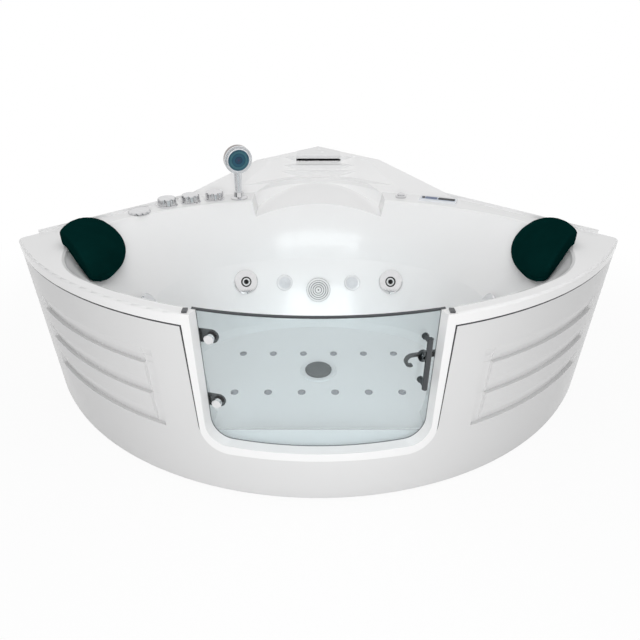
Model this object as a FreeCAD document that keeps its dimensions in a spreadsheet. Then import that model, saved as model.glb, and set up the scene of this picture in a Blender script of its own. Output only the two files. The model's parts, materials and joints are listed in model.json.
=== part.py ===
"""Quarter-round corner jet bath with a curved glass door in its front.

Millimetres. X runs to the right, +Y towards the room corner, Z up. The origin is on the floor,
half way between the room corner and the front of the rim. "Reach" is a distance from the room
corner towards the bather, and an "arc angle" is taken about the centre of the front arc, from
straight ahead, positive to the right.
"""
import FreeCAD
import Part
import Sketcher
import math
import os
import re

Vector = FreeCAD.Vector
Rotation = FreeCAD.Rotation
Placement = FreeCAD.Placement

UP = Vector(0, 0, 1)
ROOT_HALF = math.sqrt(0.5)

doc = FreeCAD.newDocument("corner_bathtub")

# ---------------------------------------------------------------- driving dimensions

SIZES = (
    # outline and deck
    ("corner_to_front", 1480, "room corner to the front of the rim"),
    ("front_radius", 1130, "radius of the front arc"),
    ("rim_height", 595, "floor to the deck"),
    ("fascia_height", 32, "turned-down edge of the rim"),
    ("skin", 6, "wall of the moulded shell"),
    ("rim_round", 7, "rounding of the rim's outer edge"),
    ("tip_round", 22, "rounding of the two tips in plan"),
    ("upstand_height", 10, "tiling upstand along both walls"),
    ("upstand_width", 6, "thickness of the tiling upstand"),
    ("upstand_end", 62, "upstand ends short of the front arc"),
    # raised corner and cascade
    ("raise_height", 82, "raised corner above the deck"),
    ("raise_flat", 370, "wall length at full height"),
    ("raise_foot", 757, "wall length where the rise ends"),
    ("shoulder_across", 262, "shoulder of the rise from the middle"),
    ("shoulder_reach", 462, "shoulder of the rise, reach"),
    ("step_one_reach", 203, "front of the spout"),
    ("step_two_reach", 250, "first riser of the cascade"),
    ("step_three_reach", 287, "second riser of the cascade"),
    ("step_one_rise", 56, "top step above the deck"),
    ("step_two_rise", 38, "middle step above the deck"),
    ("step_three_rise", 19, "bottom step above the deck"),
    ("valley_back_half", 175, "half width of the valley at the spout"),
    ("valley_back_rise", 50, "bed of the valley above the deck at the spout"),
    ("valley_front_reach", 480, "lower end of the valley"),
    ("valley_front_half", 480, "its half width there"),
    ("valley_front_drop", 78, "its bed below the deck there"),
    ("valley_head", 8, "valley above the raised corner"),
    ("dish_reach", 321, "middle of the dish's arched back"),
    ("dish_shoulder_reach", 470, "ends of that arch"),
    ("dish_half", 255, "half width of the dish at the deck"),
    ("dish_foot_half", 241, "half width at the foot of its sides"),
    ("dish_foot_run", 60, "run of its back down to the foot"),
    ("dish_wall", 62, "depth at the foot of its sides"),
    ("dish_front_drop", 20, "middle of the dish below the deck at the basin"),
    ("dish_crown", 836, "radius of its crowned bed"),
    # basin
    ("rim_width", 41, "front rim, outside to basin"),
    ("lip_round", 11, "rounding of the basin's edge"),
    ("top_back_reach", 545, "back edge of the basin at the deck"),
    ("top_back_radius", 1100, "its radius"),
    ("top_end_radius", 300, "round ends at the deck"),
    ("crease_height", 368, "height of the soft crease"),
    ("crease_front_inset", 71, "front wall's lean down to the crease"),
    ("crease_back_reach", 600, "back wall at the crease"),
    ("crease_back_radius", 850, "its radius"),
    ("crease_end_radius", 335, "round ends at the crease"),
    ("floor_height", 120, "inside floor"),
    ("floor_cove", 26, "cove round the floor"),
    ("floor_front_inset", 66, "front wall's lean from the crease to the floor"),
    ("floor_back_reach", 702, "back of the floor"),
    ("floor_back_radius", 770, "its radius"),
    ("floor_end_radius", 262, "round ends of the floor"),
    # doorway
    ("surround_depth", 27, "front face to the seal face"),
    ("surround_top_half", 329, "half width outside, at the rim"),
    ("surround_foot_half", 317, "half width outside, at the sill"),
    ("surround_foot", 164, "underside of the surround"),
    ("surround_corner", 78, "its bottom corners"),
    ("doorway_top_half", 306, "half width of the doorway, at the rim"),
    ("doorway_foot_half", 301, "half width of the doorway, at the sill"),
    ("doorway_sill", 195, "sill of the doorway"),
    ("doorway_corner", 64, "bottom corners of the doorway"),
    ("doorway_flare", 12, "narrowing from front face to seal face"),
    ("recess_half", 318, "half width of the recess behind the door"),
    ("recess_floor", 180, "ledge behind the door"),
    ("recess_ledge", 80, "depth of that ledge"),
    # skirt
    ("skirt_gap", 3, "shadow gap round the skirt"),
    ("skirt_wall", 4, "wall of the skirt"),
    ("skirt_setback", 2, "skirt behind the rim's face"),
    ("skirt_taper", 12, "lean of the skirt over its height"),
    ("skirt_clear", 4, "skirt above the floor"),
    ("skirt_end", 56.4, "arc angle where the skirt ends"),
    ("tongue_height", 22, "tongue that holds the skirt, below its top"),
    ("tongue_arc", 3, "arc angle of a tongue"),
    ("tongue_clear", 2, "tongue below the deck"),
    ("toe_height", 16, "height of the skirt's toe"),
    ("toe_inset", 2.5, "depth of the toe line"),
    ("flute_depth", 11, "depth of the flutes"),
    ("flute_pitch", 104, "spacing of the flutes"),
    ("flute_low", 207, "lowest crease above the floor"),
    ("flute_ramp", 50, "height over which a flute deepens"),
    ("flute_near", 22.3, "arc angle where the flutes begin"),
    ("flute_channel", 1.7, "arc angle of the upright channel"),
    ("flute_far", 49, "arc angle where the flutes end"),
    # glass door
    ("seal_thickness", 3, "door seal"),
    ("glass_thickness", 8, "curved safety glass"),
    ("glass_lap", 12, "glass beyond the doorway, at each side"),
    ("glass_sill_lap", 9, "glass below the sill"),
    ("glass_trim", 4, "dark edging along the top"),
    ("air_gap", 0.3, "running clearance between curved faces"),
    ("hinge_across", 309, "hinge axis from the middle"),
    ("hinge_behind", 14, "hinge axis behind the glass"),
    ("hinge_high", 517, "upper hinge above the floor"),
    ("hinge_low", 316, "lower hinge above the floor"),
    ("hinge_plate", 38, "height of a hinge plate"),
    ("hinge_pin_radius", 3, "hinge pin"),
    ("hinge_barrel_radius", 6, "hinge knuckles"),
    ("hinge_leaf", 4, "leaf in front of the hinge axis"),
    ("hinge_leaf_reach", 34, "leaf behind the hinge axis"),
    ("hinge_screw_radius", 2.5, "screw hole of a leaf"),
    ("hinge_screw_inset", 8, "screw from the leaf's end"),
    ("hinge_gasket", 1.5, "gasket between the glass and a plate"),
    ("hinge_plate_thick", 5, "plate on the glass"),
    ("hinge_play", 0.4, "play beside a moving knuckle"),
    ("cap_radius", 13, "chrome cap on a hinge"),
    ("bolt_radius", 4, "bolts through the glass"),
    ("cap_height", 12, "its height"),
    ("cap_across", 264, "cap from the middle"),
    ("pull_across", 266, "pull bar from the middle"),
    ("pull_low", 385, "lower end of the pull bar"),
    ("pull_high", 518, "upper end of the pull bar"),
    ("pull_radius", 7.5, "pull bar"),
    ("pull_standoff", 20, "bar's axis in front of the glass"),
    ("pull_end", 10, "bar beyond its stems"),
    ("nut_radius", 9, "cap nut inside the glass"),
    ("nut_height", 6, "its height"),
    ("latch_height", 458, "latch spindle above the floor"),
    ("latch_hub_radius", 13, "hub of the latch lever"),
    ("latch_reach", 44, "spindle to the end of the tongue"),
    ("latch_rose", 5, "rose of the latch"),
    ("lever_thick", 8.4, "thickness of the lever"),
    ("lever_width", 8, "width of its arm and hook"),
    ("hook_radius", 19, "hook of the lever, outside"),
    ("hook_across", 30, "hook beside the spindle"),
    ("hook_drop", 12, "middle of the hook under the spindle"),
    ("tongue_half", 8, "half height of the tongue"),
    ("roller_radius", 3.5, "roller of the catch"),
    ("roller_clear", 1.5, "roller beyond the tongue"),
    ("keeper_half", 16, "half height of the catch plate"),
    ("keeper_wall", 3, "wall of the catch"),
    ("clip_length", 18, "clip at an end of the top edging"),
    ("clip_height", 5, "its height"),
    # deck fittings
    ("knob_radius", 34, "tap knob"),
    ("knob_height", 25, "its height"),
    ("knob_edge", 3, "bevel of its top edge"),
    ("knob_base_radius", 38, "chrome ring under a knob"),
    ("knob_base_height", 4, "its height"),
    ("flute_radius", 8, "finger flute of a knob"),
    ("stem_radius", 8, "stem through the deck"),
    ("stem_clear", 1, "hole round a stem"),
    ("stem_fit", 0.05, "stem in its valve"),
    ("valve_radius", 19, "valve body under the deck"),
    ("valve_length", 62, "its length"),
    ("inlet_radius", 10.5, "half-inch tail"),
    ("regulator_radius", 39, "low air regulator"),
    ("regulator_height", 9, "its height"),
    ("switch_radius", 21, "air switch bezel"),
    ("switch_height", 9, "its height"),
    ("switch_bore", 14, "its opening"),
    ("switch_travel", 4, "travel of the air switch"),
    ("panel_length", 140, "control panel"),
    ("panel_width", 44, "its width"),
    ("panel_height", 7, "its height"),
    ("panel_frame", 6, "frame round its membrane"),
    ("membrane", 1.2, "touch membrane"),
    ("panel_module", 34, "housing under the deck"),
    # hand shower
    ("holder_radius", 33, "base of the shower holder"),
    ("holder_height", 26, "its height"),
    ("socket_depth", 70, "depth of the holder's socket"),
    ("grip_foot_radius", 12.5, "handle at the holder"),
    ("grip_top_radius", 19, "handle at the head"),
    ("head_height", 156, "middle of the head above the deck"),
    ("head_forward", 31, "spray face in front of the handle's axis"),
    ("head_radius", 52, "shower head"),
    ("head_depth", 40, "its depth"),
    ("spray_radius", 44, "spray face"),
    ("spray_depth", 5, "seat of the spray face in the head"),
    # spout
    ("spout_half", 97, "half width of the spout's cover"),
    ("spout_wall", 6, "wall of the spout's housing"),
    ("slot_rise", 8, "water slot above the top step"),
    ("slot_height", 9, "height of the water slot"),
    ("cover_proud", 3, "spout's cover above the raised corner"),
    ("cover_lip", 4, "front edge of the cover"),
    ("tail_radius", 13, "feed of the spout"),
    ("tail_length", 60, "its length"),
    ("tail_inset", 30, "feed in front of the spout's back"),
    # fittings in the basin
    ("jet_radius", 47, "water jet, outside"),
    ("jet_height", 302, "back jets above the floor"),
    ("jet_across", 284, "back jets from the middle"),
    ("side_jet_height", 360, "side jets above the floor"),
    ("side_jet_reach", 985, "side jets, reach"),
    ("lamp_radius", 32, "underwater lamp"),
    ("lamp_height", 283, "lamps above the floor"),
    ("lamp_across", 135, "lamps from the middle"),
    ("suction_radius", 48, "suction cover"),
    ("suction_height", 252, "suction above the floor"),
    ("flange_thickness", 5, "flange of a wall fitting"),
    ("housing_length", 58, "wall fitting behind the shell"),
    ("jet_wall", 5.7, "wall of a jet's housing"),
    ("nozzle_length", 15, "nozzle behind the wall"),
    ("nozzle_proud", 3, "nozzle in front of its flange"),
    ("nozzle_mouth", 8, "mouth of the nozzle"),
    ("lug_half", 2, "half width of its turning lug"),
    ("lamp_length", 30, "lamp behind the wall"),
    ("lamp_wall", 3, "wall of the lamp's housing"),
    ("cover_dome", 9, "height of the suction cover"),
    ("cover_slot", 3.2, "ring slots of the cover"),
    ("cover_spoke", 5, "spokes between the slots"),
    ("bubbler_radius", 13, "air injector in the floor"),
    ("bubbler_stem_radius", 5, "its stem"),
    ("bubbler_tail", 18, "its stem below the floor"),
    ("bubbler_pitch", 111, "spacing of the injectors"),
    ("bubbler_back_reach", 908, "back row of injectors"),
    ("bubbler_front_reach", 1131, "front row of injectors"),
    ("drain_reach", 1011, "drain, reach"),
    ("drain_flange_radius", 65, "drain flange"),
    ("drain_bore_radius", 40, "drain bore"),
    ("drain_wall", 3, "wall of the drain pieces"),
    ("plug_radius", 46, "drain plug"),
    ("plug_lift", 14, "lift of the plug"),
    ("drain_sleeve", 40, "drain flange below the floor"),
    ("plug_stem_radius", 7, "stem of the plug"),
    ("plug_stem_length", 24, "its length"),
    ("cup_depth", 86, "inside of the trap below the floor"),
    ("waste_radius", 20, "waste outlet"),
    ("waste_collar", 12, "collar between the trap and the outlet"),
    ("waste_reach", 150, "drain to the end of the outlet"),
    # pillow
    ("pillow_across", 708, "pillow's middle from the middle"),
    ("pillow_reach", 975, "pillow's middle, reach"),
    ("pillow_height", 577, "pillow's middle above the floor"),
    ("pillow_length", 340, "pillow's length"),
    ("pillow_width", 204, "pillow's width"),
    ("pillow_depth", 84, "pillow's depth"),
    ("pillow_slope", 46, "tilt of the pillow"),
    ("pillow_clear", 0.5, "seam behind the pillow"),
    # carriage
    ("tube", 30, "square tube of the frame"),
    ("beam_back_reach", 880, "back beam"),
    ("beam_front_reach", 1170, "front beam"),
    ("beam_half", 560, "half length of the beams"),
    ("post_across", 450, "rear posts from the middle"),
    ("post_reach", 520, "rear posts, reach"),
    ("foot_radius", 24, "levelling foot"),
    ("foot_height", 14, "its pad"),
    ("foot_screw_radius", 5, "its screw"),
    ("foot_screw_entry", 12, "screw inside the tube"),
    ("pump_across", 668, "pump from the middle"),
    ("pump_reach", 1050, "pump, reach"),
    ("pump_height", 152, "pump's axis above the floor"),
    ("pump_radius", 60, "pump motor"),
    ("pump_length", 150, "length of the motor"),
    ("pump_neck", 16, "necks of the pump and caps of the machines"),
    ("volute_radius", 72, "wet end of the pump"),
    ("volute_depth", 46, "its depth"),
    ("blower_radius", 58, "air blower"),
    ("blower_height", 120, "its height"),
    ("shelf_thickness", 6, "plate under the pump and the blower"),
    ("box_length", 160, "control box"),
    ("box_depth", 50, "its depth"),
    ("box_height", 96, "its height"),
    ("box_along", 629, "box along the right wall"),
    ("box_inset", 35, "middle of the box from the wall"),
    ("pipe_radius", 16, "water pipe"),
    ("stub_radius", 11, "branch to a jet"),
    ("branch_length", 28, "its length"),
    ("header_bend", 590, "outer bend of the delivery pipe"),
    ("header_half", 200, "half of its straight middle"),
    ("suction_bend", 300, "bend of the suction pipe"),
    ("rail_radius", 6, "air rail under the floor"),
)

sheet = doc.addObject("Spreadsheet::Sheet", "Dims")
for row, (alias, value, meaning) in enumerate(SIZES, 1):
    sheet.set(f"A{row}", meaning)
    sheet.set(f"B{row}", str(value))
    sheet.setAlias(f"B{row}", alias)
doc.recompute()


def size(expression):
    """Value of a sheet expression, in millimetres or degrees."""
    return float(sheet.evalExpression(str(expression)))


ALIASES = {alias for alias, value, meaning in SIZES}


def bound(expression):
    """The same expression as another object has to write it."""
    return re.sub(
        "[a-z][a-z_]*",
        lambda word: f"Dims.{word[0]}" if word[0] in ALIASES else word[0],
        expression,
    )


corner_y = size("corner_to_front") / 2
arc_y = corner_y - size("corner_to_front") + size("front_radius")
deck_z = size("rim_height")
seal_radius = size("front_radius - surround_depth")
glass_outer = seal_radius - size("seal_thickness + air_gap")
glass_inner = glass_outer - size("glass_thickness")


def at_reach(reach):
    """Y of a reach from the room corner."""
    return corner_y - reach


def on_arc(radius, angle, height):
    """Point on a circle about the front arc's centre."""
    turn = math.radians(angle)
    return Vector(radius * math.sin(turn), arc_y - radius * math.cos(turn), height)


def arc_angle(across, radius):
    """Arc angle at which a circle reaches a distance from the middle."""
    return math.degrees(math.asin(across / radius))


# ---------------------------------------------------------------- ways to make a piece

pieces = {}


def keep(name, thing):
    """Registers a piece under the name of its node."""
    thing.Label = name
    pieces[name] = thing
    return thing


def solid(name, shape):
    """A piece made from a shape that follows the sheet."""
    feature = doc.addObject("Part::Feature", name)
    feature.Shape = shape
    return keep(name, feature)


def profile(body, role, corners):
    """Closed sketch on an origin plane, each corner held to the sheet."""
    sketch = body.newObject("Sketcher::SketchObject", "profile")
    plane = next(item for item in body.Origin.OriginFeatures if item.Role == role)
    sketch.AttachmentSupport = [(plane, "")]
    sketch.MapMode = "FlatFace"
    points = [Vector(size(across), size(up), 0) for across, up in corners]
    count = len(points)
    lines = [Part.LineSegment(points[i], points[(i + 1) % count]) for i in range(count)]
    sketch.addGeometry(lines)
    for i in range(count):
        sketch.addConstraint(Sketcher.Constraint("Coincident", i, 2, (i + 1) % count, 1))
    for i, corner in enumerate(corners):
        for kind, expression in zip(("DistanceX", "DistanceY"), corner):
            rule = Sketcher.Constraint(kind, -1, 1, i, 1, size(expression))
            index = sketch.addConstraint(rule)
            sketch.setExpression(f"Constraints[{index}]", bound(expression))
    return sketch


def lathe(name, corners, place=None):
    """Turned piece: (radius, height) corners about the local Z axis."""
    body = doc.addObject("PartDesign::Body", name)
    sketch = profile(body, "XZ_Plane", corners)
    turned = body.newObject("PartDesign::Revolution", "turned")
    turned.Profile = sketch
    turned.ReferenceAxis = (sketch, ["V_Axis"])
    turned.Angle = 360
    body.Tip = turned
    if place:
        body.Placement = place
    return keep(name, body)


def plate(name, corners, height, place=None):
    """Flat piece: an outline in the local XY plane, raised along Z."""
    body = doc.addObject("PartDesign::Body", name)
    sketch = profile(body, "XY_Plane", corners)
    pad = body.newObject("PartDesign::Pad", "pad")
    pad.Profile = sketch
    pad.setExpression("Length", bound(height))
    body.Tip = pad
    if place:
        body.Placement = place
    return keep(name, body)


def round_pocket(body, radius, across, count=1):
    """Round cuts through a body, repeated round its axis."""
    sketch = body.newObject("Sketcher::SketchObject", "cut")
    plane = next(item for item in body.Origin.OriginFeatures if item.Role == "XY_Plane")
    sketch.AttachmentSupport = [(plane, "")]
    sketch.MapMode = "FlatFace"
    centre = Vector(size(across), 0, 0)
    ring = sketch.addGeometry(Part.Circle(centre, UP, size(radius)))
    sketch.addConstraint(Sketcher.Constraint("PointOnObject", ring, 3, -1))
    for rule, expression in (
        (Sketcher.Constraint("Radius", ring, size(radius)), radius),
        (Sketcher.Constraint("DistanceX", -1, 1, ring, 3, size(across)), across),
    ):
        index = sketch.addConstraint(rule)
        sketch.setExpression(f"Constraints[{index}]", bound(expression))
    pocket = body.newObject("PartDesign::Pocket", "pocket")
    pocket.Profile = sketch
    pocket.Type = "ThroughAll"
    pocket.Midplane = True
    body.Tip = pocket
    if count > 1:
        pattern = body.newObject("PartDesign::PolarPattern", "pattern")
        pattern.Originals = [pocket]
        pattern.Axis = (sketch, ["N_Axis"])
        pattern.Angle = 360
        pattern.Occurrences = count
        body.Tip = pattern
    return body


def upright(x, y, z):
    """Placement with Z up."""
    return Placement(Vector(x, y, z), Rotation())


def facing(point, normal, turn=0):
    """Placement whose Z points along a normal."""
    return Placement(point, Rotation(UP, normal) * Rotation(UP, turn))


def rod(start, end, radius):
    """Round bar between two points."""
    return Part.makeCylinder(radius, (end - start).Length, start, end - start)


def block(low, high):
    """Box between two corners."""
    return Part.makeBox(high.x - low.x, high.y - low.y, high.z - low.z, low)


def mirrored(shape):
    """The same shape on the other side of the middle."""
    return shape.mirror(Vector(0, 0, 0), Vector(1, 0, 0))


def united(shapes):
    """One shape from several that touch or overlap."""
    return shapes[0].multiFuse(shapes[1:]).removeSplitter()


def group(shapes):
    """Several separate solids kept together."""
    return Part.makeCompound([one for shape in shapes for one in shape.Solids])


def turned(corners):
    """Solid of revolution about Z from (radius, height) corners."""
    points = [Vector(radius, 0, height) for radius, height in corners]
    return Part.Face(Part.makePolygon(points + [points[0]])).revolve(Vector(0, 0, 0), UP, 360)


def placed(shape, place):
    """A copy of a shape moved to a placement."""
    copy = shape.copy()
    copy.Placement = place.multiply(copy.Placement)
    return copy


def wall_seat(start, direction):
    """Where a line from inside the basin meets its wall, and the normal that faces the bather."""
    line = Part.makeLine(start, start + direction * size("corner_to_front"))
    run = line.common(basin_inside)
    hit = max((vertex.Point for vertex in run.Vertexes), key=lambda p: (p - start).Length)
    face = min(basin_inside.Faces, key=lambda f: f.distToShape(Part.Vertex(hit))[0])
    across, along = face.Surface.parameter(hit)
    normal = face.normalAt(across, along)
    if normal.dot(start - hit) < 0:
        normal = normal * -1
    return hit, normal


def wall_fitting(start, direction, radius, bend):
    """Placement of a round fitting: its flange clears a wall that curves to a radius."""
    hit, normal = wall_seat(start, direction)
    lift = radius**2 / (2 * bend) + size("air_gap")
    return facing(hit + normal * lift, normal)


# ---------------------------------------------------------------- the moulded shell


def corner_prism(radius, inset, bottom, top):
    """Quarter-round prism: two walls at right angles and the front arc."""
    side = 2 * radius
    square = Part.makeBox(side, side, top - bottom, Vector(0, 0, bottom))
    square.rotate(Vector(0, 0, 0), UP, -135)
    square.translate(Vector(0, corner_y - inset / ROOT_HALF, 0))
    disc = Part.makeCylinder(radius, top - bottom, Vector(0, arc_y, bottom))
    return square.common(disc)


def rim_block():
    """Deck and fascia as one block with rounded tips and a rounded top edge."""
    block_shape = corner_prism(size("front_radius"), 0, deck_z - size("fascia_height"), deck_z)
    tips = [
        edge
        for edge in block_shape.Edges
        if len(edge.Vertexes) == 2
        and abs(edge.Vertexes[0].X - edge.Vertexes[1].X) < 0.01
        and abs(edge.Vertexes[0].X) > 1
        and abs(edge.Vertexes[0].Z - edge.Vertexes[1].Z) > 1
    ]
    block_shape = block_shape.makeFillet(size("tip_round"), tips)
    front = [
        edge
        for edge in block_shape.Edges
        if edge.Curve.TypeId == "Part::GeomCircle"
        and abs(edge.BoundBox.ZMin - deck_z) < 0.01
        and edge.Curve.Radius > 500
    ]
    return block_shape.makeFillet(size("rim_round"), front)


def rise_wing(drop):
    """Left half of the raised corner: a flat top and one long slope."""
    bottom = deck_z - size("skin") - drop
    level = deck_z - drop
    top = level + size("raise_height")
    foot = size("raise_foot") * ROOT_HALF
    flat = size("raise_flat") * ROOT_HALF
    shoulder = Vector(-size("shoulder_across"), at_reach(size("shoulder_reach")), level)
    wall_foot = Vector(-foot, at_reach(foot), level)
    wall_flat = Vector(-flat, at_reach(flat), top)
    run = shoulder - wall_foot
    middle_foot = wall_foot + run * (foot / run.x)
    middle_flat = wall_flat + run * (flat / run.x)
    back_top = Vector(0, corner_y, top)
    low = [Vector(0, corner_y, bottom), Vector(wall_foot), Vector(middle_foot)]
    for point in low:
        point.z = bottom
    loops = (
        low,
        [back_top, wall_flat, middle_flat],
        [wall_foot, middle_foot, middle_flat, wall_flat],
        [low[1], low[2], middle_foot, wall_foot],
        [low[0], low[1], wall_foot, wall_flat, back_top],
        [low[0], low[2], middle_foot, middle_flat, back_top],
    )
    faces = [Part.Face(Part.makePolygon(loop + [loop[0]])) for loop in loops]
    return Part.Solid(Part.Shell(faces))


def rise(drop):
    """The whole raised corner, lowered by a drop."""
    wing = rise_wing(drop)
    return wing.fuse(mirrored(wing))


def valley_section(reach, half, bed):
    """Upright section of the valley: a bowed bed under a level top."""
    y = at_reach(reach)
    top = deck_z + size("raise_height + valley_head")
    left = Vector(-half, y, top)
    right = Vector(half, y, top)
    bow = Part.Arc(left, Vector(0, y, bed), right)
    return Part.Wire([bow.toShape(), Part.makeLine(right, left)])


def valley(grow):
    """Soft valley down the raised corner, filled to three level steps."""
    bed_back = deck_z + size("valley_back_rise") - grow
    bed_front = deck_z - size("valley_front_drop") - grow
    sections = [
        valley_section(size("step_one_reach") - grow, size("valley_back_half") + grow, bed_back),
        valley_section(size("valley_front_reach"), size("valley_front_half") + grow, bed_front),
    ]
    hollow = Part.makeLoft(sections, True, True)
    for front, rise_name in (
        ("step_two_reach", "step_one_rise"),
        ("step_three_reach", "step_two_rise"),
        ("valley_front_reach", "step_three_rise"),
    ):
        wide = size("corner_to_front")
        level = deck_z + size(rise_name) - grow
        nose = at_reach(size(front) - grow)
        hollow = hollow.cut(block(Vector(-wide, nose, 0), Vector(wide, corner_y, level)))
    return hollow


def dish_outline(level, half, arch_reach, shoulder_reach):
    """Plan of the dish at one level: an arched back, open towards the basin."""
    front = at_reach(size("drain_reach"))
    left = Vector(-half, at_reach(shoulder_reach), level)
    right = Vector(half, left.y, level)
    crown = Vector(0, at_reach(arch_reach), level)
    corners = [right, Vector(half, front, level), Vector(-half, front, level), left]
    lines = [Part.makeLine(start, end) for start, end in zip(corners, corners[1:])]
    return Part.Wire([Part.Arc(left, crown, right).toShape()] + lines)


def dish(grow):
    """Dish that carries the water from the steps into the basin, over a crowned bed."""
    top = deck_z + size("raise_height + valley_head")
    arch = size("dish_reach") - grow
    shoulder = size("dish_shoulder_reach") - grow
    run = size("dish_foot_run")
    upper = dish_outline(deck_z - grow, size("dish_half") + grow, arch, shoulder)
    foot_level = deck_z - size("dish_wall") - grow
    lower = dish_outline(foot_level, size("dish_foot_half") + grow, arch + run, shoulder + run / 3)
    walls = Part.makeLoft([upper, lower], True, True)
    above = Part.Face(upper).extrude(UP * (top - deck_z + grow))
    fall = Vector(0, -size("top_back_reach - dish_reach"), -size("dish_front_drop")).normalize()
    radius = size("dish_crown")
    under = fall.cross(Vector(-1, 0, 0)) * radius
    start = Vector(0, at_reach(size("dish_reach")), deck_z - grow) - fall * radius
    crown = Part.makeCylinder(radius, 3 * radius, start + under, fall)
    return walls.cut(crown).fuse(above)


def cascade(grow):
    """Valley and dish in front of the spout, grown by a wall."""
    return valley(grow).fuse(dish(grow)).removeSplitter()


def basin_ring(level, front_radius, back_reach, back_radius, end_radius, grow=0):
    """Plan of the basin at one height: four arcs that run into one another."""
    front_radius += grow
    back_reach -= grow
    back_radius += grow
    end_radius += grow
    back_centre = at_reach(back_reach) - back_radius
    apart = arc_y - back_centre
    to_front = front_radius - end_radius
    to_back = back_radius - end_radius
    drop = (apart**2 + to_front**2 - to_back**2) / (2 * apart)
    end_x = math.sqrt(to_front**2 - drop**2)
    end_y = arc_y - drop
    front = Vector(0, arc_y - front_radius, level)
    back = Vector(0, at_reach(back_reach), level)
    front_touch = Vector(end_x, end_y - arc_y, 0) * (front_radius / to_front)
    front_touch += Vector(0, arc_y, level)
    back_touch = Vector(end_x, end_y - back_centre, 0) * (back_radius / to_back)
    back_touch += Vector(0, back_centre, level)
    end_mid = Vector(end_x + end_radius, end_y, level)
    left = [Vector(-p.x, p.y, p.z) for p in (front_touch, end_mid, back_touch)]
    arcs = (
        Part.Arc(left[0], front, front_touch),
        Part.Arc(front_touch, end_mid, back_touch),
        Part.Arc(back_touch, back, left[2]),
        Part.Arc(left[2], left[1], left[0]),
    )
    return Part.Wire([arc.toShape() for arc in arcs])


def basin(grow):
    """Basin from the deck to the floor: its inside, or its outside when grown."""
    rim_radius = size("front_radius - rim_width")
    crease_radius = rim_radius - size("crease_front_inset")
    floor_front = crease_radius - size("floor_front_inset")
    cove = size("floor_cove")
    lip = size("lip_round")
    top = ("top_back_reach", "top_back_radius", "top_end_radius")
    crease = ("crease_back_reach", "crease_back_radius", "crease_end_radius")
    floor = ("floor_back_reach", "floor_back_radius", "floor_end_radius")
    rings = []
    if grow == 0:
        for sink, wide in ((0, 1), (0.3, 0.35), (1, 0)):
            ring = [size(name) for name in top]
            rings.append(basin_ring(deck_z - sink * lip, rim_radius, *ring, wide * lip))
    else:
        ring = [size(name) for name in top]
        rings.append(basin_ring(deck_z - size("skin") / 2, rim_radius, *ring, grow + lip))
        rings.append(basin_ring(deck_z - lip, rim_radius, *ring, grow))
    ring = [size(name) for name in crease]
    rings.append(basin_ring(size("crease_height"), crease_radius, *ring, grow))
    ring = [size(name) for name in floor]
    bottom = size("floor_height") - grow
    rings.append(basin_ring(bottom + cove, floor_front, *ring, grow))
    rings.append(basin_ring(bottom, floor_front, *ring, grow - 0.7 * cove))
    return Part.makeLoft(rings, True, True)


def door_outline(half_top, half_foot, foot, corner, top, y):
    """U-shaped outline in an upright plane: straight sides and two round corners."""
    lean = math.atan2(half_top - half_foot, top - foot)
    tangent = corner * math.tan((math.pi / 2 - lean) / 2)
    low = Vector(half_foot, y, foot)
    along = Vector(half_top - half_foot, 0, top - foot).normalize()
    floor_end = Vector(half_foot - tangent, y, foot)
    side_end = low + along * tangent
    bisector = (along + Vector(-1, 0, 0)).normalize()
    centre_far = math.hypot(tangent, corner)
    middle = low + bisector * (centre_far - corner)
    right = [Vector(half_top, y, top), side_end, middle, floor_end]
    left = [Vector(-p.x, p.y, p.z) for p in right]
    edges = [
        Part.makeLine(left[0], right[0]),
        Part.makeLine(right[0], right[1]),
        Part.Arc(right[1], right[2], right[3]).toShape(),
        Part.makeLine(right[3], left[3]),
        Part.Arc(left[3], left[2], left[1]).toShape(),
        Part.makeLine(left[1], left[0]),
    ]
    return Part.Wire(edges)


def door_prism(half_top, half_foot, foot, corner, top):
    """The same outline run from in front of the bath to its middle."""
    front = arc_y - size("front_radius") - 40
    wire = door_outline(half_top, half_foot, foot, corner, top, front)
    return Part.Face(wire).extrude(Vector(0, 300, 0))


def doorway():
    """The way through the surround, narrowing inwards."""
    edge_y = arc_y - math.sqrt(size("front_radius") ** 2 - size("doorway_top_half") ** 2)
    pull_in = size("doorway_flare / surround_depth")
    wires = []
    for y in (arc_y - size("front_radius") - 40, edge_y + 2 * size("surround_depth")):
        less = pull_in * (y - edge_y)
        wires.append(
            door_outline(
                size("doorway_top_half") - less,
                size("doorway_foot_half") - less,
                size("doorway_sill") + 0.1 * (y - edge_y),
                size("doorway_corner"),
                deck_z + 60,
                y,
            )
        )
    return Part.makeLoft(wires, True, True)


def arc_band(outer, inner, bottom, top):
    """Curved wall between two radii of the front arc."""
    centre = Vector(0, arc_y, bottom)
    return Part.makeCylinder(outer, top - bottom, centre).cut(
        Part.makeCylinder(inner, top - bottom, centre)
    )


def door_recess(grow):
    """Room for the door inside the shell: a ledge behind it that falls to the basin floor."""
    half = size("recess_half") + grow
    ledge = size("recess_floor") - grow
    floor = size("floor_height") + 0.5 - grow
    back = arc_y - seal_radius + size("recess_ledge")
    toe = arc_y - size("front_radius - rim_width - crease_front_inset - floor_front_inset")
    side = [
        Vector(-half, arc_y - size("front_radius"), ledge),
        Vector(-half, back, ledge),
        Vector(-half, toe, floor),
        Vector(-half, toe + 2 * size("recess_ledge"), floor),
        Vector(-half, toe + 2 * size("recess_ledge"), deck_z + 60),
        Vector(-half, arc_y - size("front_radius"), deck_z + 60),
    ]
    room = Part.Face(Part.makePolygon(side + [side[0]])).extrude(Vector(2 * half, 0, 0))
    return room.common(Part.makeCylinder(seal_radius, 2 * deck_z, Vector(0, arc_y, 0)))


def below_deck(shape):
    """The part of a shape that lies under the deck's surface."""
    reach = 2 * size("corner_to_front")
    return shape.common(block(Vector(-reach, -reach, 0), Vector(reach, reach, deck_z)))


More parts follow.
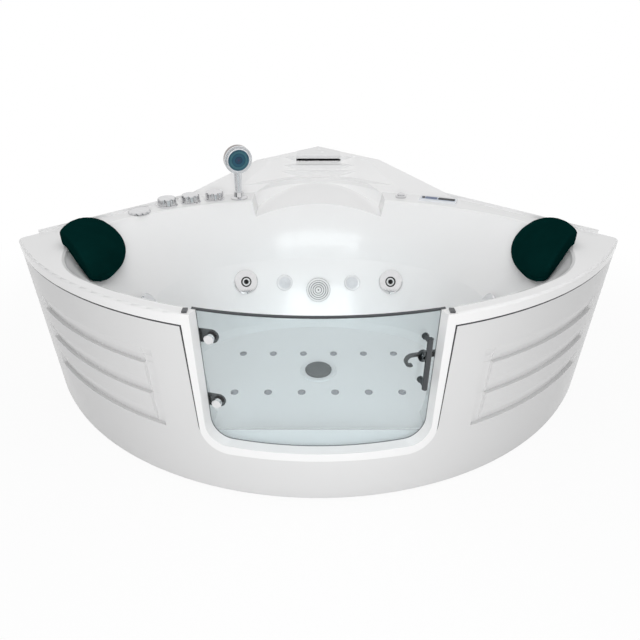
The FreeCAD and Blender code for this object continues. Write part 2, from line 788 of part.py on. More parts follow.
basin_inside = basin(0)
deck_top = rim_block().fuse(rise(0))
hollow = corner_prism(
    size("front_radius - skin"), size("skin"), deck_z - size("fascia_height"), deck_z - size("skin")
)
rise_hollow = rise(size("skin")).common(
    corner_prism(size("front_radius"), size("skin"), 0, 2 * deck_z)
)
deck = deck_top.cut(hollow).cut(rise_hollow)

upstand = corner_prism(
    size("front_radius - upstand_end"), 0, deck_z, deck_z + size("upstand_height")
)
upstand = upstand.cut(
    corner_prism(2 * size("front_radius"), size("upstand_width"), 0, 2 * deck_z)
)

surround = door_prism(
    size("surround_top_half"),
    size("surround_foot_half"),
    size("surround_foot"),
    size("surround_corner"),
    deck_z,
).common(arc_band(size("front_radius"), seal_radius, 0, deck_z))

steps_wall = cascade(size("skin")).common(deck_top.fuse(below_deck(cascade(size("skin")))))
shell = deck.multiFuse(
    [basin(size("skin")), below_deck(door_recess(size("skin"))), surround, steps_wall, upstand]
)
basin_mouth = Part.Face(
    basin_ring(
        deck_z,
        size("front_radius - rim_width"),
        size("top_back_reach"),
        size("top_back_radius"),
        size("top_end_radius"),
        size("lip_round"),
    )
).extrude(Vector(0, 0, 60))
shell = shell.cut(basin_inside).cut(basin_mouth).cut(cascade(0))
shell = shell.cut(door_recess(0)).cut(doorway())
print("shell", shell.isValid(), len(shell.Solids), round(shell.Volume / 1e6, 2), "litres")

# ---------------------------------------------------------------- places that several pieces share

middle_y = at_reach(size("drain_reach"))
side_y = at_reach(size("side_jet_reach"))
to_back = Vector(0, 1, 0)
back_bend = size("floor_back_radius")
end_bend = size("floor_end_radius")
jet = size("jet_radius")
JETS = {}
for side, word in ((-1, "left"), (1, "right")):
    across = side * size("jet_across")
    back_start = Vector(across, middle_y, size("jet_height"))
    side_start = Vector(0, side_y, size("side_jet_height"))
    JETS[word] = wall_fitting(back_start, to_back, jet, back_bend)
    JETS[f"side_{word}"] = wall_fitting(side_start, Vector(side, 0, 0), jet, end_bend)
LAMPS = [
    wall_fitting(
        Vector(side * size("lamp_across"), middle_y, size("lamp_height")),
        to_back,
        size("lamp_radius"),
        back_bend,
    )
    for side in (-1, 1)
]
suction_start = Vector(0, middle_y, size("suction_height"))
SUCTION = wall_fitting(suction_start, to_back, size("suction_radius"), back_bend)
KNOBS = {
    "hot": upright(-564, at_reach(627), deck_z),
    "cold": upright(-486, at_reach(585), deck_z),
    "diverter": upright(-402, at_reach(549), deck_z),
}
REGULATOR = upright(-643, at_reach(708), deck_z)
HOLDER = upright(-308, at_reach(538), deck_z)
SWITCH = upright(322, at_reach(528), deck_z)
PANEL = Placement(Vector(459, at_reach(572), deck_z), Rotation(UP, -20))
BUBBLERS = [
    Vector((column - 2.5) * size("bubbler_pitch"), at_reach(reach), size("floor_height"))
    for reach in (size("bubbler_back_reach"), size("bubbler_front_reach"))
    for column in range(6)
]
DRAIN = upright(0, at_reach(size("drain_reach")), size("floor_height"))
housing_radius = size("jet_radius") * 0.55
lamp_bore = size("lamp_radius") * 0.6
stem_hole = size("stem_radius + stem_clear")

# ---------------------------------------------------------------- holes in the shell

def drill(place, radius, depth=40):
    """Round hole through the wall under a placement."""
    return placed(Part.makeCylinder(radius, 2 * depth, Vector(0, 0, -depth)), place)


holes = [drill(place, housing_radius + 0.5) for place in JETS.values()]
holes += [drill(place, lamp_bore + 0.5) for place in LAMPS]
holes.append(drill(SUCTION, housing_radius + 0.5))
holes += [drill(place, stem_hole, 12) for place in KNOBS.values()]
holes.append(drill(REGULATOR, stem_hole, 12))
holes.append(drill(SWITCH, stem_hole, 12))
holes.append(drill(HOLDER, size("grip_foot_radius") + 4, 12))
holes.append(drill(DRAIN, size("drain_bore_radius") + 3, 12))
injector_hole = size("bubbler_stem_radius") + 0.5
holes += [drill(upright(*spot), injector_hole, 12) for spot in BUBBLERS]
slot_low = deck_z + size("step_one_rise")
spout_back = at_reach(size("spout_half") + 16)
spout_front = at_reach(size("step_one_reach"))
spout_top = deck_z + size("raise_height")
spout_room = block(
    Vector(-size("spout_half"), spout_front - 20, slot_low),
    Vector(size("spout_half"), spout_back, spout_top + 20),
)
shell = shell.cut(Part.makeCompound(holes)).cut(spout_room)
solid("tub_shell", shell)

# ---------------------------------------------------------------- skirt

skirt_top = deck_z - size("fascia_height + skirt_gap")
skirt_low = size("skirt_clear")
skirt_face = size("front_radius - skirt_setback")


def skirt_radius(height):
    """Outer radius of the skirt at a height."""
    return skirt_face - size("skirt_taper") * (skirt_top - height) / (skirt_top - skirt_low)


def skirt_cone(inset, low, high):
    """Full cone whose side is the skirt's face, set in by a wall."""
    return Part.makeCone(
        skirt_radius(low) - inset, skirt_radius(high) - inset, high - low, Vector(0, arc_y, low)
    )


def swept(corners, start, end):
    """(radius, height) corners swept about the front arc's axis between two arc angles."""
    points = [Vector(0, arc_y - radius, height) for radius, height in corners]
    face = Part.Face(Part.makePolygon(points + [points[0]]))
    face.rotate(Vector(0, arc_y, 0), UP, start)
    return face.revolve(Vector(0, arc_y, 0), UP, end - start)


def flutes(behind):
    """Three saw-tooth flutes and the upright channel that ends them, or the wall behind them."""
    depth = size("flute_depth") + behind
    near = size("flute_near") - (behind > 0) * 0.2
    far = size("flute_far") + (behind > 0) * 0.2
    channel = size("flute_channel") + (behind > 0) * 0.4
    proud = 0 if behind else 6
    cuts = []
    low = size("flute_low")
    high = low + 2 * size("flute_pitch") + size("flute_ramp")
    for step in range(3):
        crease = low + step * size("flute_pitch") - behind
        ramp = crease + size("flute_ramp") + 2 * behind
        middle = (crease + ramp) / 2
        corners = (
            (skirt_radius(crease) - depth, crease),
            (skirt_radius(middle) - 0.42 * depth, middle),
            (skirt_radius(ramp) - behind / 2, ramp),
            (skirt_radius(ramp) + proud, ramp),
            (skirt_radius(crease) + proud, crease),
        )
        cuts.append(swept(corners, near, far))
    corners = (
        (skirt_radius(low) - depth, low - behind),
        (skirt_radius(high) - depth, high - 0.6 * size("flute_ramp") + behind),
        (skirt_radius(high) - behind / 2, high + behind),
        (skirt_radius(high) + proud, high + behind),
        (skirt_radius(low) + proud, low - behind),
    )
    cuts.append(swept(corners, near, near + channel))
    right = united(cuts)
    return right.fuse(mirrored(right))


skirt_end = Vector(size("front_radius") * math.sin(math.radians(size("skirt_end"))), 0, 0).x
skirt_room = block(Vector(-skirt_end, -corner_y - 20, 0), Vector(skirt_end, 0, deck_z))
skirt_outer = skirt_cone(0, skirt_low, skirt_top)
skirt_inner = skirt_cone(size("skirt_wall"), skirt_low, skirt_top)
skirt = skirt_outer.cut(skirt_inner)
skirt = skirt.fuse(flutes(size("skirt_wall")).common(skirt_outer)).cut(flutes(0))
tongue_face = size("front_radius - skin - air_gap")
tongue_low = skirt_top - size("tongue_height")
tongue_back = skirt_radius(tongue_low) - size("skirt_wall") - 4
tongue = (
    (tongue_back, tongue_low),
    (skirt_radius(tongue_low) - 1, tongue_low),
    (tongue_face, skirt_top - 2),
    (tongue_face, deck_z - size("skin + tongue_clear")),
    (tongue_back, deck_z - size("skin + tongue_clear")),
)
for angle in (24, 38, 51):
    right_tongue = swept(tongue, angle, angle + size("tongue_arc"))
    skirt = skirt.multiFuse([right_tongue, mirrored(right_tongue)])
toe_line = arc_band(
    skirt_face + 20, skirt_radius(size("toe_height")) - size("toe_inset"), skirt_low, size("toe_height")
)
skirt = skirt.cut(toe_line).common(skirt_room)
skirt = skirt.cut(
    door_prism(
        size("surround_top_half + skirt_gap"),
        size("surround_foot_half + skirt_gap"),
        size("surround_foot - skirt_gap"),
        size("surround_corner + skirt_gap"),
        deck_z,
    )
)
solid("front_skirt", skirt)

# ---------------------------------------------------------------- door seal and glass

glass_top = deck_z - size("glass_trim")
glass_prism = door_prism(
    size("doorway_top_half + glass_lap - doorway_flare"),
    size("doorway_foot_half + glass_lap - doorway_flare"),
    size("doorway_sill - glass_sill_lap"),
    size("doorway_corner"),
    deck_z + 1,
)
seal_band = arc_band(seal_radius, seal_radius - size("seal_thickness"), 0, deck_z)
solid("door_seal", seal_band.common(glass_prism).cut(doorway()))

cap_angle = -arc_angle(size("cap_across"), glass_inner)
pull_angle = arc_angle(size("pull_across"), glass_outer)
latch_angle = arc_angle(size("pull_across"), glass_inner)
seat_gap = size("air_gap") / 3
PULL_ENDS = (size("pull_low"), size("pull_high"))
HINGES = (size("hinge_low"), size("hinge_high"))
bolt_radius = size("bolt_radius")


def glass_bolt_holes():
    """Holes for the hinge caps, the pull bar and the latch."""
    spots = [(cap_angle, height) for height in HINGES]
    spots += [(pull_angle, height) for height in PULL_ENDS]
    spots.append((latch_angle, size("latch_height")))
    cuts = []
    for angle, height in spots:
        out = on_arc(1, angle, 0) - on_arc(0, angle, 0)
        cuts.append(Part.makeCylinder(bolt_radius + 1, 60, on_arc(glass_inner - 30, angle, height), out))
    return Part.makeCompound(cuts)


glass_band = arc_band(glass_outer, glass_inner, 0, glass_top).common(glass_prism)
solid("door_glass", glass_band.cut(glass_bolt_holes()))
trim_band = arc_band(glass_outer, glass_inner, glass_top, deck_z)
solid("door_top_trim", trim_band.common(glass_prism))

# ---------------------------------------------------------------- hinges

hinge_y = arc_y - math.sqrt(glass_inner**2 - size("hinge_across") ** 2) + size("hinge_behind")
hinge_x = -size("hinge_across")
recess_wall = -size("recess_half")


def knuckle(radius, low, high):
    """Part of a hinge barrel."""
    return Part.makeCylinder(radius, high - low, Vector(hinge_x, hinge_y, low))


def hinge_bracket(middle):
    """Leaf on the recess wall with two knuckles that hold the pin."""
    half = size("hinge_plate") / 2
    low, high = middle - half, middle + half
    third = size("hinge_plate") / 3
    barrel = size("hinge_barrel_radius")
    leaf = block(
        Vector(recess_wall, hinge_y - size("hinge_leaf"), low),
        Vector(hinge_x - barrel + 1, hinge_y + size("hinge_leaf_reach"), high),
    )
    leaf = leaf.cut(knuckle(barrel + size("hinge_play"), low + third, high - third))
    screws = []
    for height in (low + size("hinge_screw_inset"), high - size("hinge_screw_inset")):
        centre = Vector(recess_wall, hinge_y + size("hinge_leaf_reach") * 0.7, height)
        screws.append(rod(centre, centre + Vector(2 * barrel, 0, 0), size("hinge_screw_radius")))
    bracket = united([leaf, knuckle(barrel, low, low + third), knuckle(barrel, high - third, high)])
    return bracket.cut(knuckle(size("hinge_pin_radius"), low, high)).cut(group(screws))


def hinge_plate(middle):
    """Plate on the inside of the glass, cranked back to the middle knuckle."""
    half = size("hinge_plate") / 2
    inner = size("hinge_plate") / 6 - size("hinge_play")
    barrel = size("hinge_barrel_radius")
    frame = Placement(on_arc(glass_inner, cap_angle, middle), Rotation(UP, cap_angle))
    axis = frame.inverse().multVec(Vector(hinge_x, hinge_y, middle))
    near = size("hinge_gasket")
    far = near + size("hinge_plate_thick")
    disc = rod(Vector(0, near, 0), Vector(0, far, 0), half)
    bar = block(Vector(axis.x + 1.5 * barrel, near, -half), Vector(0, far, half))
    crank = block(
        Vector(axis.x + barrel * 0.7, near + bolt_radius / 2, -inner),
        Vector(axis.x + 2.3 * barrel, axis.y + barrel / 2, inner),
    )
    bolt = rod(Vector(0, near + bolt_radius / 2, 0), Vector(0, -size("glass_thickness"), 0), bolt_radius)
    shape = placed(united([disc, bar, crank, bolt]), frame)
    moving = knuckle(barrel - size("hinge_play"), middle - inner, middle + inner)
    bore = knuckle(size("hinge_pin_radius") + 0.05, middle - half, middle + half)
    return united([shape, moving]).cut(bore)


def hinge_pin(middle):
    """Pin through the three knuckles."""
    half = size("hinge_plate") / 2
    return knuckle(size("hinge_pin_radius"), middle - half, middle + half)


def hinge_cap(middle):
    """Round cap outside the glass."""
    seat = on_arc(glass_outer + seat_gap, cap_angle, middle)
    edge = size("cap_radius")
    top = size("cap_height")
    cap = turned(((0, 0), (edge, 0), (edge, top - 2), (edge - 2, top), (0, top)))
    return placed(cap, facing(seat, on_arc(1, cap_angle, 0) - on_arc(0, cap_angle, 0)))


solid("hinge_brackets", group([hinge_bracket(middle) for middle in HINGES]))
solid("hinge_plates", group([hinge_plate(middle) for middle in HINGES]))
solid("hinge_pins", group([hinge_pin(middle) for middle in HINGES]))
solid("hinge_caps", group([hinge_cap(middle) for middle in HINGES]))

# ---------------------------------------------------------------- pull bar and latch

pull_out = on_arc(1, pull_angle, 0) - on_arc(0, pull_angle, 0)
bar_foot = on_arc(glass_outer + size("pull_standoff"), pull_angle, size("pull_low"))
bar_head = on_arc(glass_outer + size("pull_standoff"), pull_angle, size("pull_high"))
bar_end = UP * size("pull_end")
pull = [rod(bar_foot - bar_end, bar_head + bar_end, size("pull_radius"))]
nuts = []
for height in PULL_ENDS:
    root = on_arc(glass_outer + seat_gap, pull_angle, height)
    pull.append(rod(root, root + pull_out * size("pull_standoff"), size("pull_radius") - 1))
    pull.append(rod(root - pull_out * size("glass_thickness"), root, bolt_radius))
    nut_seat = on_arc(glass_inner - 2 * seat_gap, pull_angle, height)
    nuts.append(rod(nut_seat, nut_seat - pull_out * size("nut_height"), size("nut_radius")))
solid("door_pull", united(pull))
solid("pull_nuts", group(nuts))

latch_frame = Placement(
    on_arc(glass_inner, latch_angle, size("latch_height")), Rotation(UP, latch_angle)
)
latch_depth = Vector(0, 1, 0)
hub = size("latch_hub_radius")
rose = rod(latch_depth * seat_gap, latch_depth * size("latch_rose"), hub + 3)
lever_low = size("latch_rose") + 2 * seat_gap
lever_high = lever_low + size("lever_thick")
spindle_end = latch_depth * (lever_high - 2)
spindle = rod(latch_depth * seat_gap, spindle_end, bolt_radius)
solid("latch_base", placed(united([rose, spindle]), latch_frame))


def lever_disc(radius, x, z):
    """Round of the lever's outline."""
    return rod(Vector(x, lever_low, z), Vector(x, lever_high, z), radius)


hook_outer = size("hook_radius")
hook_inner = size("hook_radius - lever_width")
hook_x = -size("hook_across")
hook_z = -size("hook_drop")
tongue_half = size("tongue_half")
hook = lever_disc(hook_outer, hook_x, hook_z).cut(lever_disc(hook_inner, hook_x, hook_z))
hook = hook.cut(
    block(Vector(hook_x, 0, hook_z - 2 * hook_outer), Vector(-hook_x, 2 * lever_high, -2 * hook_z))
)
arm_top = hook_z + hook_outer
arm = block(
    Vector(hook_x, lever_low, arm_top - size("lever_width")), Vector(0, lever_high, arm_top)
)
hook_tip = lever_disc(size("lever_width / 2"), hook_x, hook_z - (hook_outer + hook_inner) / 2)
tongue = block(
    Vector(0, lever_low, -tongue_half), Vector(size("latch_reach"), lever_high, tongue_half)
)
lever = united([lever_disc(hub, 0, 0), arm, hook, hook_tip, tongue])
lever_bore = rod(Vector(0, 0, 0), spindle_end + latch_depth * seat_gap, bolt_radius + 0.05)
lever = lever.cut(lever_bore)
solid("latch_lever", placed(lever, latch_frame))

tongue_end = latch_frame.multVec(Vector(size("latch_reach"), (lever_low + lever_high) / 2, 0))
roller = size("roller_radius")
roller_x = tongue_end.x + size("roller_clear") + roller
keeper_y = tongue_end.y
keeper_z = size("latch_height")
keeper_half = size("keeper_half")
keeper_wall = size("keeper_wall")
plate_x = size("recess_half") - keeper_wall
keeper_plate = block(
    Vector(plate_x, keeper_y - 0.8 * keeper_half, keeper_z - keeper_half),
    Vector(size("recess_half"), keeper_y + 0.8 * keeper_half, keeper_z + keeper_half),
)
cheek_low = tongue_half + size("hinge_play")
cheek_high = cheek_low + keeper_wall
cheeks = [
    block(
        Vector(roller_x - roller / 2, keeper_y - 1.7 * roller, keeper_z + low),
        Vector(plate_x, keeper_y + 1.7 * roller, keeper_z + low + keeper_wall),
    )
    for low in (-cheek_high, cheek_low)
]
barrel = rod(
    Vector(roller_x, keeper_y, keeper_z - cheek_low - 1),
    Vector(roller_x, keeper_y, keeper_z + cheek_low + 1),
    roller,
)
solid("latch_keeper", united([keeper_plate, barrel] + cheeks))

clips = []
for side in (-1, 1):
    edge = side * (size("doorway_top_half + surround_top_half") / 2)
    clip_radius = size("front_radius - surround_depth / 2")
    centre_y = arc_y - math.sqrt(clip_radius**2 - edge**2)
    clips.append(
        block(
            Vector(edge - size("clip_length / 3"), centre_y - size("clip_length / 2"), deck_z),
            Vector(
                edge + size("clip_length / 3"),
                centre_y + size("clip_length / 2"),
                deck_z + size("clip_height"),
            ),
        )
    )
solid("door_end_clips", group(clips))

# ---------------------------------------------------------------- taps and deck fittings

for tap, place in KNOBS.items():
    knob = lathe(
        f"tap_knob_{tap}",
        (
            ("0", "0 - skin - valve_radius"),
            ("stem_radius", "0 - skin - valve_radius"),
            ("stem_radius", "knob_base_height + air_gap"),
            ("knob_radius", "knob_base_height + air_gap"),
            ("knob_radius", "knob_base_height + knob_height - knob_edge"),
            ("knob_radius - knob_edge", "knob_base_height + knob_height"),
            ("0", "knob_base_height + knob_height"),
        ),
        place,
    )
    round_pocket(knob, "flute_radius", "knob_radius + flute_radius / 2", 8)

ring_bore = size("stem_radius + stem_clear")
ring_top = size("knob_base_height")
tap_ring = turned(
    (
        (ring_bore, 0),
        (size("knob_base_radius"), 0),
        (size("knob_base_radius"), ring_top / 2),
        (size("knob_base_radius") - ring_top / 2, ring_top),
        (ring_bore, ring_top),
    )
)
stem_bore = size("stem_radius + stem_fit")
stem_end = -size("skin + valve_radius + stem_clear")
valve_end = -size("skin + valve_length")
tap_valve = turned(
    (
        (stem_bore, -size("skin")),
        (size("valve_radius"), -size("skin")),
        (size("valve_radius"), valve_end),
        (size("inlet_radius"), valve_end),
        (size("inlet_radius"), valve_end - size("valve_radius")),
        (0, valve_end - size("valve_radius")),
        (0, stem_end),
        (stem_bore, stem_end),
    )
)
solid("tap_rings", group([placed(tap_ring, place) for place in KNOBS.values()]))
solid("tap_valves", group([placed(tap_valve, place) for place in KNOBS.values()]))

lathe(
    "air_regulator_body",
    (
        ("stem_radius + stem_fit", "0 - skin"),
        ("valve_radius", "0 - skin"),
        ("valve_radius", "0 - skin - valve_length / 2"),
        ("0", "0 - skin - valve_length / 2"),
        ("0", "0 - skin - valve_radius - stem_clear"),
        ("stem_radius + stem_fit", "0 - skin - valve_radius - stem_clear"),
    ),
    REGULATOR,
)
regulator = lathe(
    "air_regulator",
    (
        ("0", "0 - skin - valve_radius"),
        ("stem_radius", "0 - skin - valve_radius"),
        ("stem_radius", "air_gap"),
        ("regulator_radius", "air_gap"),
        ("regulator_radius", "regulator_height / 2"),
        ("regulator_radius - regulator_height / 2", "regulator_height"),
        ("0", "regulator_height"),
    ),
    REGULATOR,
)
round_pocket(regulator, "flute_radius / 2", "regulator_radius + 1", 12)

lathe(
    "air_switch_bezel",
    (
        ("switch_bore", "0"),
        ("switch_radius", "0"),
        ("switch_radius", "switch_height * 0.7"),
        ("switch_radius - switch_height / 3", "switch_height"),
        ("switch_bore", "switch_height"),
    ),
    SWITCH,
)
lathe(
    "air_switch_button",
    (
        ("0", "0 - skin - switch_travel"),
        ("stem_radius", "0 - skin - switch_travel"),
        ("stem_radius", "switch_travel + 1"),
        ("switch_bore - air_gap", "switch_travel + 1"),
        ("switch_bore - air_gap", "switch_height + switch_travel"),
        ("switch_bore - switch_travel", "switch_height + 1.5 * switch_travel"),
        ("0", "switch_height + 1.5 * switch_travel"),
    ),
    SWITCH,
)
lathe(
    "air_switch_body",
    (
        ("stem_radius + air_gap", "0 - skin"),
        ("switch_bore + 2", "0 - skin"),
        ("switch_bore + 2", "0 - skin - panel_module"),
        ("0", "0 - skin - panel_module"),
        ("0", "0 - skin - 3 * switch_travel"),
        ("stem_radius + air_gap", "0 - skin - 3 * switch_travel"),
    ),
    SWITCH,
)

half_long = "panel_length / 2"
half_wide = "panel_width / 2"


def rectangle(inset):
    """Corners of the panel's outline, set in all round."""
    x = f"{half_long} - ({inset})"
    y = f"{half_wide} - ({inset})"
    return ((f"0 - ({x})", f"0 - ({y})"), (x, f"0 - ({y})"), (x, y), (f"0 - ({x})", y))


plate("control_panel", rectangle(0), "panel_height", PANEL)
screen_place = PANEL.multiply(upright(0, 0, size("panel_height")))
plate("control_display", rectangle("panel_frame"), "membrane", screen_place)
module_place = PANEL.multiply(upright(0, 0, -size("skin + panel_module")))
plate("control_module", rectangle("panel_frame + 2"), "panel_module", module_place)

# ---------------------------------------------------------------- hand shower

lathe(
    "shower_holder",
    (
        ("grip_foot_radius + air_gap", "0 - socket_depth"),
        ("grip_foot_radius + 3", "0 - socket_depth"),
        ("grip_foot_radius + 3", "0"),
        ("holder_radius", "0"),
        ("holder_radius", "4"),
        ("grip_foot_radius + 8", "9"),
        ("grip_foot_radius + 5", "holder_height"),
        ("grip_foot_radius + air_gap", "holder_height"),
    ),
    HOLDER,
)
head_normal = Vector(0.4, -0.9, -0.12).normalize()
head_centre = HOLDER.Base + UP * size("head_height") + head_normal * size("head_forward")
head_place = facing(head_centre, head_normal)
grip_low = -size("socket_depth") + 12
grip = [
    Part.makeCylinder(
        size("grip_foot_radius"), size("holder_height") - grip_low, Vector(0, 0, grip_low)
    ),
    Part.makeCone(
        size("grip_foot_radius"),
        size("grip_top_radius"),
        size("head_height - holder_height - head_radius / 2"),
        Vector(0, 0, size("holder_height")),
    ),
]
shower_body = [placed(part, HOLDER) for part in grip]
head_outline = (
    ("0", "0 - head_depth"),
    ("head_radius * 0.7", "0 - head_depth"),
    ("head_radius * 0.92", "0 - head_depth * 0.8"),
    ("head_radius", "0 - head_depth * 0.5"),
    ("head_radius", "0"),
    ("spray_radius + air_gap", "0"),
    ("spray_radius + air_gap", "0 - spray_depth"),
    ("0", "0 - spray_depth"),
)
head_shell = turned([(size(across), size(up)) for across, up in head_outline])
shower_body.append(placed(head_shell, head_place))
spray_room = Part.makeCylinder(
    size("spray_radius + air_gap"), size("head_radius"), Vector(0, 0, -size("spray_depth"))
)
solid("hand_shower", united(shower_body).cut(placed(spray_room, head_place)))
lathe(
    "shower_face",
    (
        ("0", "0 - spray_depth"),
        ("spray_radius", "0 - spray_depth"),
        ("spray_radius", "1"),
        ("spray_radius - 4", "2.5"),
        ("0", "2.5"),
    ),
    head_place,
)

# ---------------------------------------------------------------- waterfall spout

half = size("spout_half - air_gap")
housing = block(
    Vector(-half, spout_front + 1, slot_low),
    Vector(half, spout_back, spout_top - size("cover_lip")),
)
slot_wall = size("spout_wall")
slot_floor = slot_low + size("slot_rise")
slot = block(
    Vector(-half + slot_wall, spout_front - slot_wall, slot_floor),
    Vector(half - slot_wall, spout_back - 3 * slot_wall, slot_floor + size("slot_height")),
)
tail_y = spout_back - size("tail_inset")
tail_end = slot_low - size("tail_length")
tail = rod(Vector(0, tail_y, tail_end), Vector(0, tail_y, slot_floor), size("tail_radius"))
feed = rod(
    Vector(0, tail_y, tail_end - 1),
    Vector(0, tail_y, slot_floor + 1),
    size("tail_radius - spout_wall / 1.5"),
)
solid("waterfall_spout", united([housing, tail]).cut(slot).cut(feed))
wall_line = size("upstand_width") / ROOT_HALF
cover_side = at_reach(size("spout_half")) - wall_line
cover_points = [
    Vector(0, corner_y - wall_line, spout_top),
    Vector(-half, cover_side, spout_top),
    Vector(-half, spout_front, spout_top),
    Vector(half, spout_front, spout_top),
    Vector(half, cover_side, spout_top),
]
cover_lid = Part.Face(Part.makePolygon(cover_points + [cover_points[0]])).extrude(
    UP * size("cover_proud")
)
cover_rim = block(
    Vector(-half, spout_front, spout_top - size("cover_lip")), Vector(half, spout_back, spout_top)
)
solid("spout_cover", united([cover_lid, cover_rim]))

# ---------------------------------------------------------------- water jets, lamps, suction

flange = size("flange_thickness")
housing_end = -size("housing_length")
bore = housing_radius - size("jet_wall")
bore_end = -size("nozzle_length") - 1
jet_edge = size("jet_radius - flange_thickness")
jet_body = turned(
    (
        (0, housing_end),
        (housing_radius, housing_end),
        (housing_radius, 0),
        (size("jet_radius"), 0),
        (size("jet_radius"), flange / 2),
        (jet_edge, flange),
        (bore + size("air_gap"), flange),
        (bore + size("air_gap"), bore_end),
        (0, bore_end),
    )
)
nozzle_face = flange + size("nozzle_proud")
mouth = size("nozzle_mouth")
nozzle = turned(
    (
        (0, -size("nozzle_length")),
        (bore, -size("nozzle_length")),
        (bore, flange + 1),
        (bore - size("nozzle_proud"), nozzle_face),
        (mouth + size("nozzle_proud"), nozzle_face),
        (mouth, flange / 2),
        (mouth, -size("nozzle_length") / 2),
        (0, -size("nozzle_length") / 2),
    )
)
lug = block(
    Vector(bore - 2 * size("nozzle_proud"), -size("lug_half"), flange),
    Vector(bore - size("lug_half"), size("lug_half"), nozzle_face + size("lug_half")),
)
nozzle = united([nozzle, lug])
for jet, place in JETS.items():
    solid(f"jet_body_{jet}", placed(jet_body, place))
    solid(f"jet_nozzle_{jet}", placed(nozzle, place))

lens_radius = size("lamp_radius") * 0.7
lens_seat = 1
lamp_end = -size("lamp_length")
lens_bore = lamp_bore - size("lamp_wall")
bezel = turned(
    (
        (lens_bore, lamp_end),
        (lamp_bore, lamp_end),
        (lamp_bore, 0),
        (size("lamp_radius"), 0),
        (size("lamp_radius") - flange / 2, flange - 1),
        (lens_radius + size("air_gap"), flange),
        (lens_radius + size("air_gap"), lens_seat),
        (lens_bore, lens_seat),
    )
)
lens = turned(
    (
        (0, lamp_end + flange),
        (lens_bore - size("air_gap"), lamp_end + flange),
        (lens_bore - size("air_gap"), lens_seat + 0.2),
        (lens_radius, lens_seat + 0.2),
        (lens_radius, flange - 1),
        (lens_radius / 2, flange + 2),
        (0, flange + 3),
    )
)
solid("lamp_bezels", group([placed(bezel, place) for place in LAMPS]))
solid("lamp_lenses", group([placed(lens, place) for place in LAMPS]))

suction_wall = size("jet_wall")
suction_seat = flange - 2
suction_body = turned(
    (
        (0, housing_end),
        (housing_radius, housing_end),
        (housing_radius, 0),
        (size("suction_radius"), 0),
        (size("suction_radius"), suction_seat),
        (housing_radius - suction_wall, suction_seat),
        (housing_radius - suction_wall, housing_end + suction_wall),
        (0, housing_end + suction_wall),
    )
)
solid("suction_body", placed(suction_body, SUCTION))
cover_edge = size("suction_radius") - 1
cover_low = suction_seat + 0.2
cover_high = cover_low + size("cover_dome")
dome = turned(
    (
        (0, cover_low),
        (cover_edge, cover_low),
        (cover_edge, cover_low + 2),
        (cover_edge * 0.7, cover_high - 2),
        (0, cover_high),
    )
)
slot_half = size("cover_slot") / 2
slots = []
for share in (0.28, 0.46, 0.64):
    radius = cover_edge * share
    outer_cut = Part.makeCylinder(radius + slot_half, 2 * cover_high)
    slots.append(outer_cut.cut(Part.makeCylinder(radius - slot_half, 2 * cover_high)))
spoke = size("cover_spoke") / 2
spokes = [
    block(Vector(-spoke, -cover_edge, 0), Vector(spoke, cover_edge, 2 * cover_high)),
    block(Vector(-cover_edge, -spoke, 0), Vector(cover_edge, spoke, 2 * cover_high)),
]
grille = dome.cut(Part.makeCompound(slots).cut(Part.makeCompound(spokes)))
solid("suction_cover", placed(grille, SUCTION))

# ---------------------------------------------------------------- floor: injectors and drain

injector = turned(
    (
        (0, -size("bubbler_tail")),
        (size("bubbler_stem_radius"), -size("bubbler_tail")),
        (size("bubbler_stem_radius"), 0),
        (size("bubbler_radius"), 0),
        (size("bubbler_radius"), 1.5),
        (size("bubbler_radius") * 0.6, 4.5),
        (0, 4.5),
    )
)
solid("floor_injectors", group([placed(injector, upright(*spot)) for spot in BUBBLERS]))

lathe(
    "drain_flange",
    (
        ("drain_bore_radius", "0 - drain_sleeve"),
        ("drain_bore_radius + drain_wall", "0 - drain_sleeve"),
        ("drain_bore_radius + drain_wall", "0"),
        ("drain_flange_radius", "0"),
        ("drain_flange_radius - 3", "4"),
        ("plug_radius + 2", "4"),
        ("plug_radius + 2", "2"),
        ("drain_bore_radius", "2"),
    ),
    DRAIN,
)
lathe(
    "drain_plug",
    (
        ("0", "0 - plug_stem_length"),
        ("plug_stem_radius", "0 - plug_stem_length"),
        ("plug_stem_radius", "0 - 1"),
        ("drain_bore_radius - 3", "0 - 1"),
        ("drain_bore_radius - 3", "2.3"),
        ("plug_radius", "2.3"),
        ("plug_radius", "6"),
        ("plug_radius - 6", "10"),
        ("0", "11"),
    ),
    DRAIN,
)
cup_bore = size("drain_bore_radius")
cup_outer = size("drain_bore_radius + drain_wall")
cup_top = -size("drain_sleeve") - 0.2
cup_floor = -size("cup_depth")
cup_bottom = cup_floor - size("drain_wall")
guide_bore = size("plug_stem_radius + air_gap")
guide_top = -size("plug_stem_length") - 2
outlet_z = (cup_top + cup_floor) / 2
outlet_end = size("waste_reach")
cup = turned(
    (
        (0, cup_bottom),
        (cup_outer, cup_bottom),
        (cup_outer, cup_top),
        (cup_bore, cup_top),
        (cup_bore, cup_floor),
        (0, cup_floor),
    )
)
guide = turned(
    (
        (guide_bore, cup_floor),
        (guide_bore + size("drain_wall"), cup_floor),
        (guide_bore + size("drain_wall"), guide_top),
        (guide_bore, guide_top),
    )
)
collar_end = cup_outer + size("waste_collar")
collar = rod(
    Vector(0, cup_bore, outlet_z), Vector(0, collar_end, outlet_z), size("waste_radius") + 1.5
)
outlet = rod(Vector(0, cup_bore, outlet_z), Vector(0, outlet_end, outlet_z), size("waste_radius"))
outlet_bore = rod(
    Vector(0, cup_bore / 2, outlet_z),
    Vector(0, outlet_end + 1, outlet_z),
    size("waste_radius - drain_wall"),
)
cup_room = Part.makeCylinder(cup_bore, cup_top - cup_floor, Vector(0, 0, cup_floor))
trap = united([cup, collar, outlet]).cut(cup_room).cut(outlet_bore)
solid("waste_trap", placed(united([trap, guide]), DRAIN))

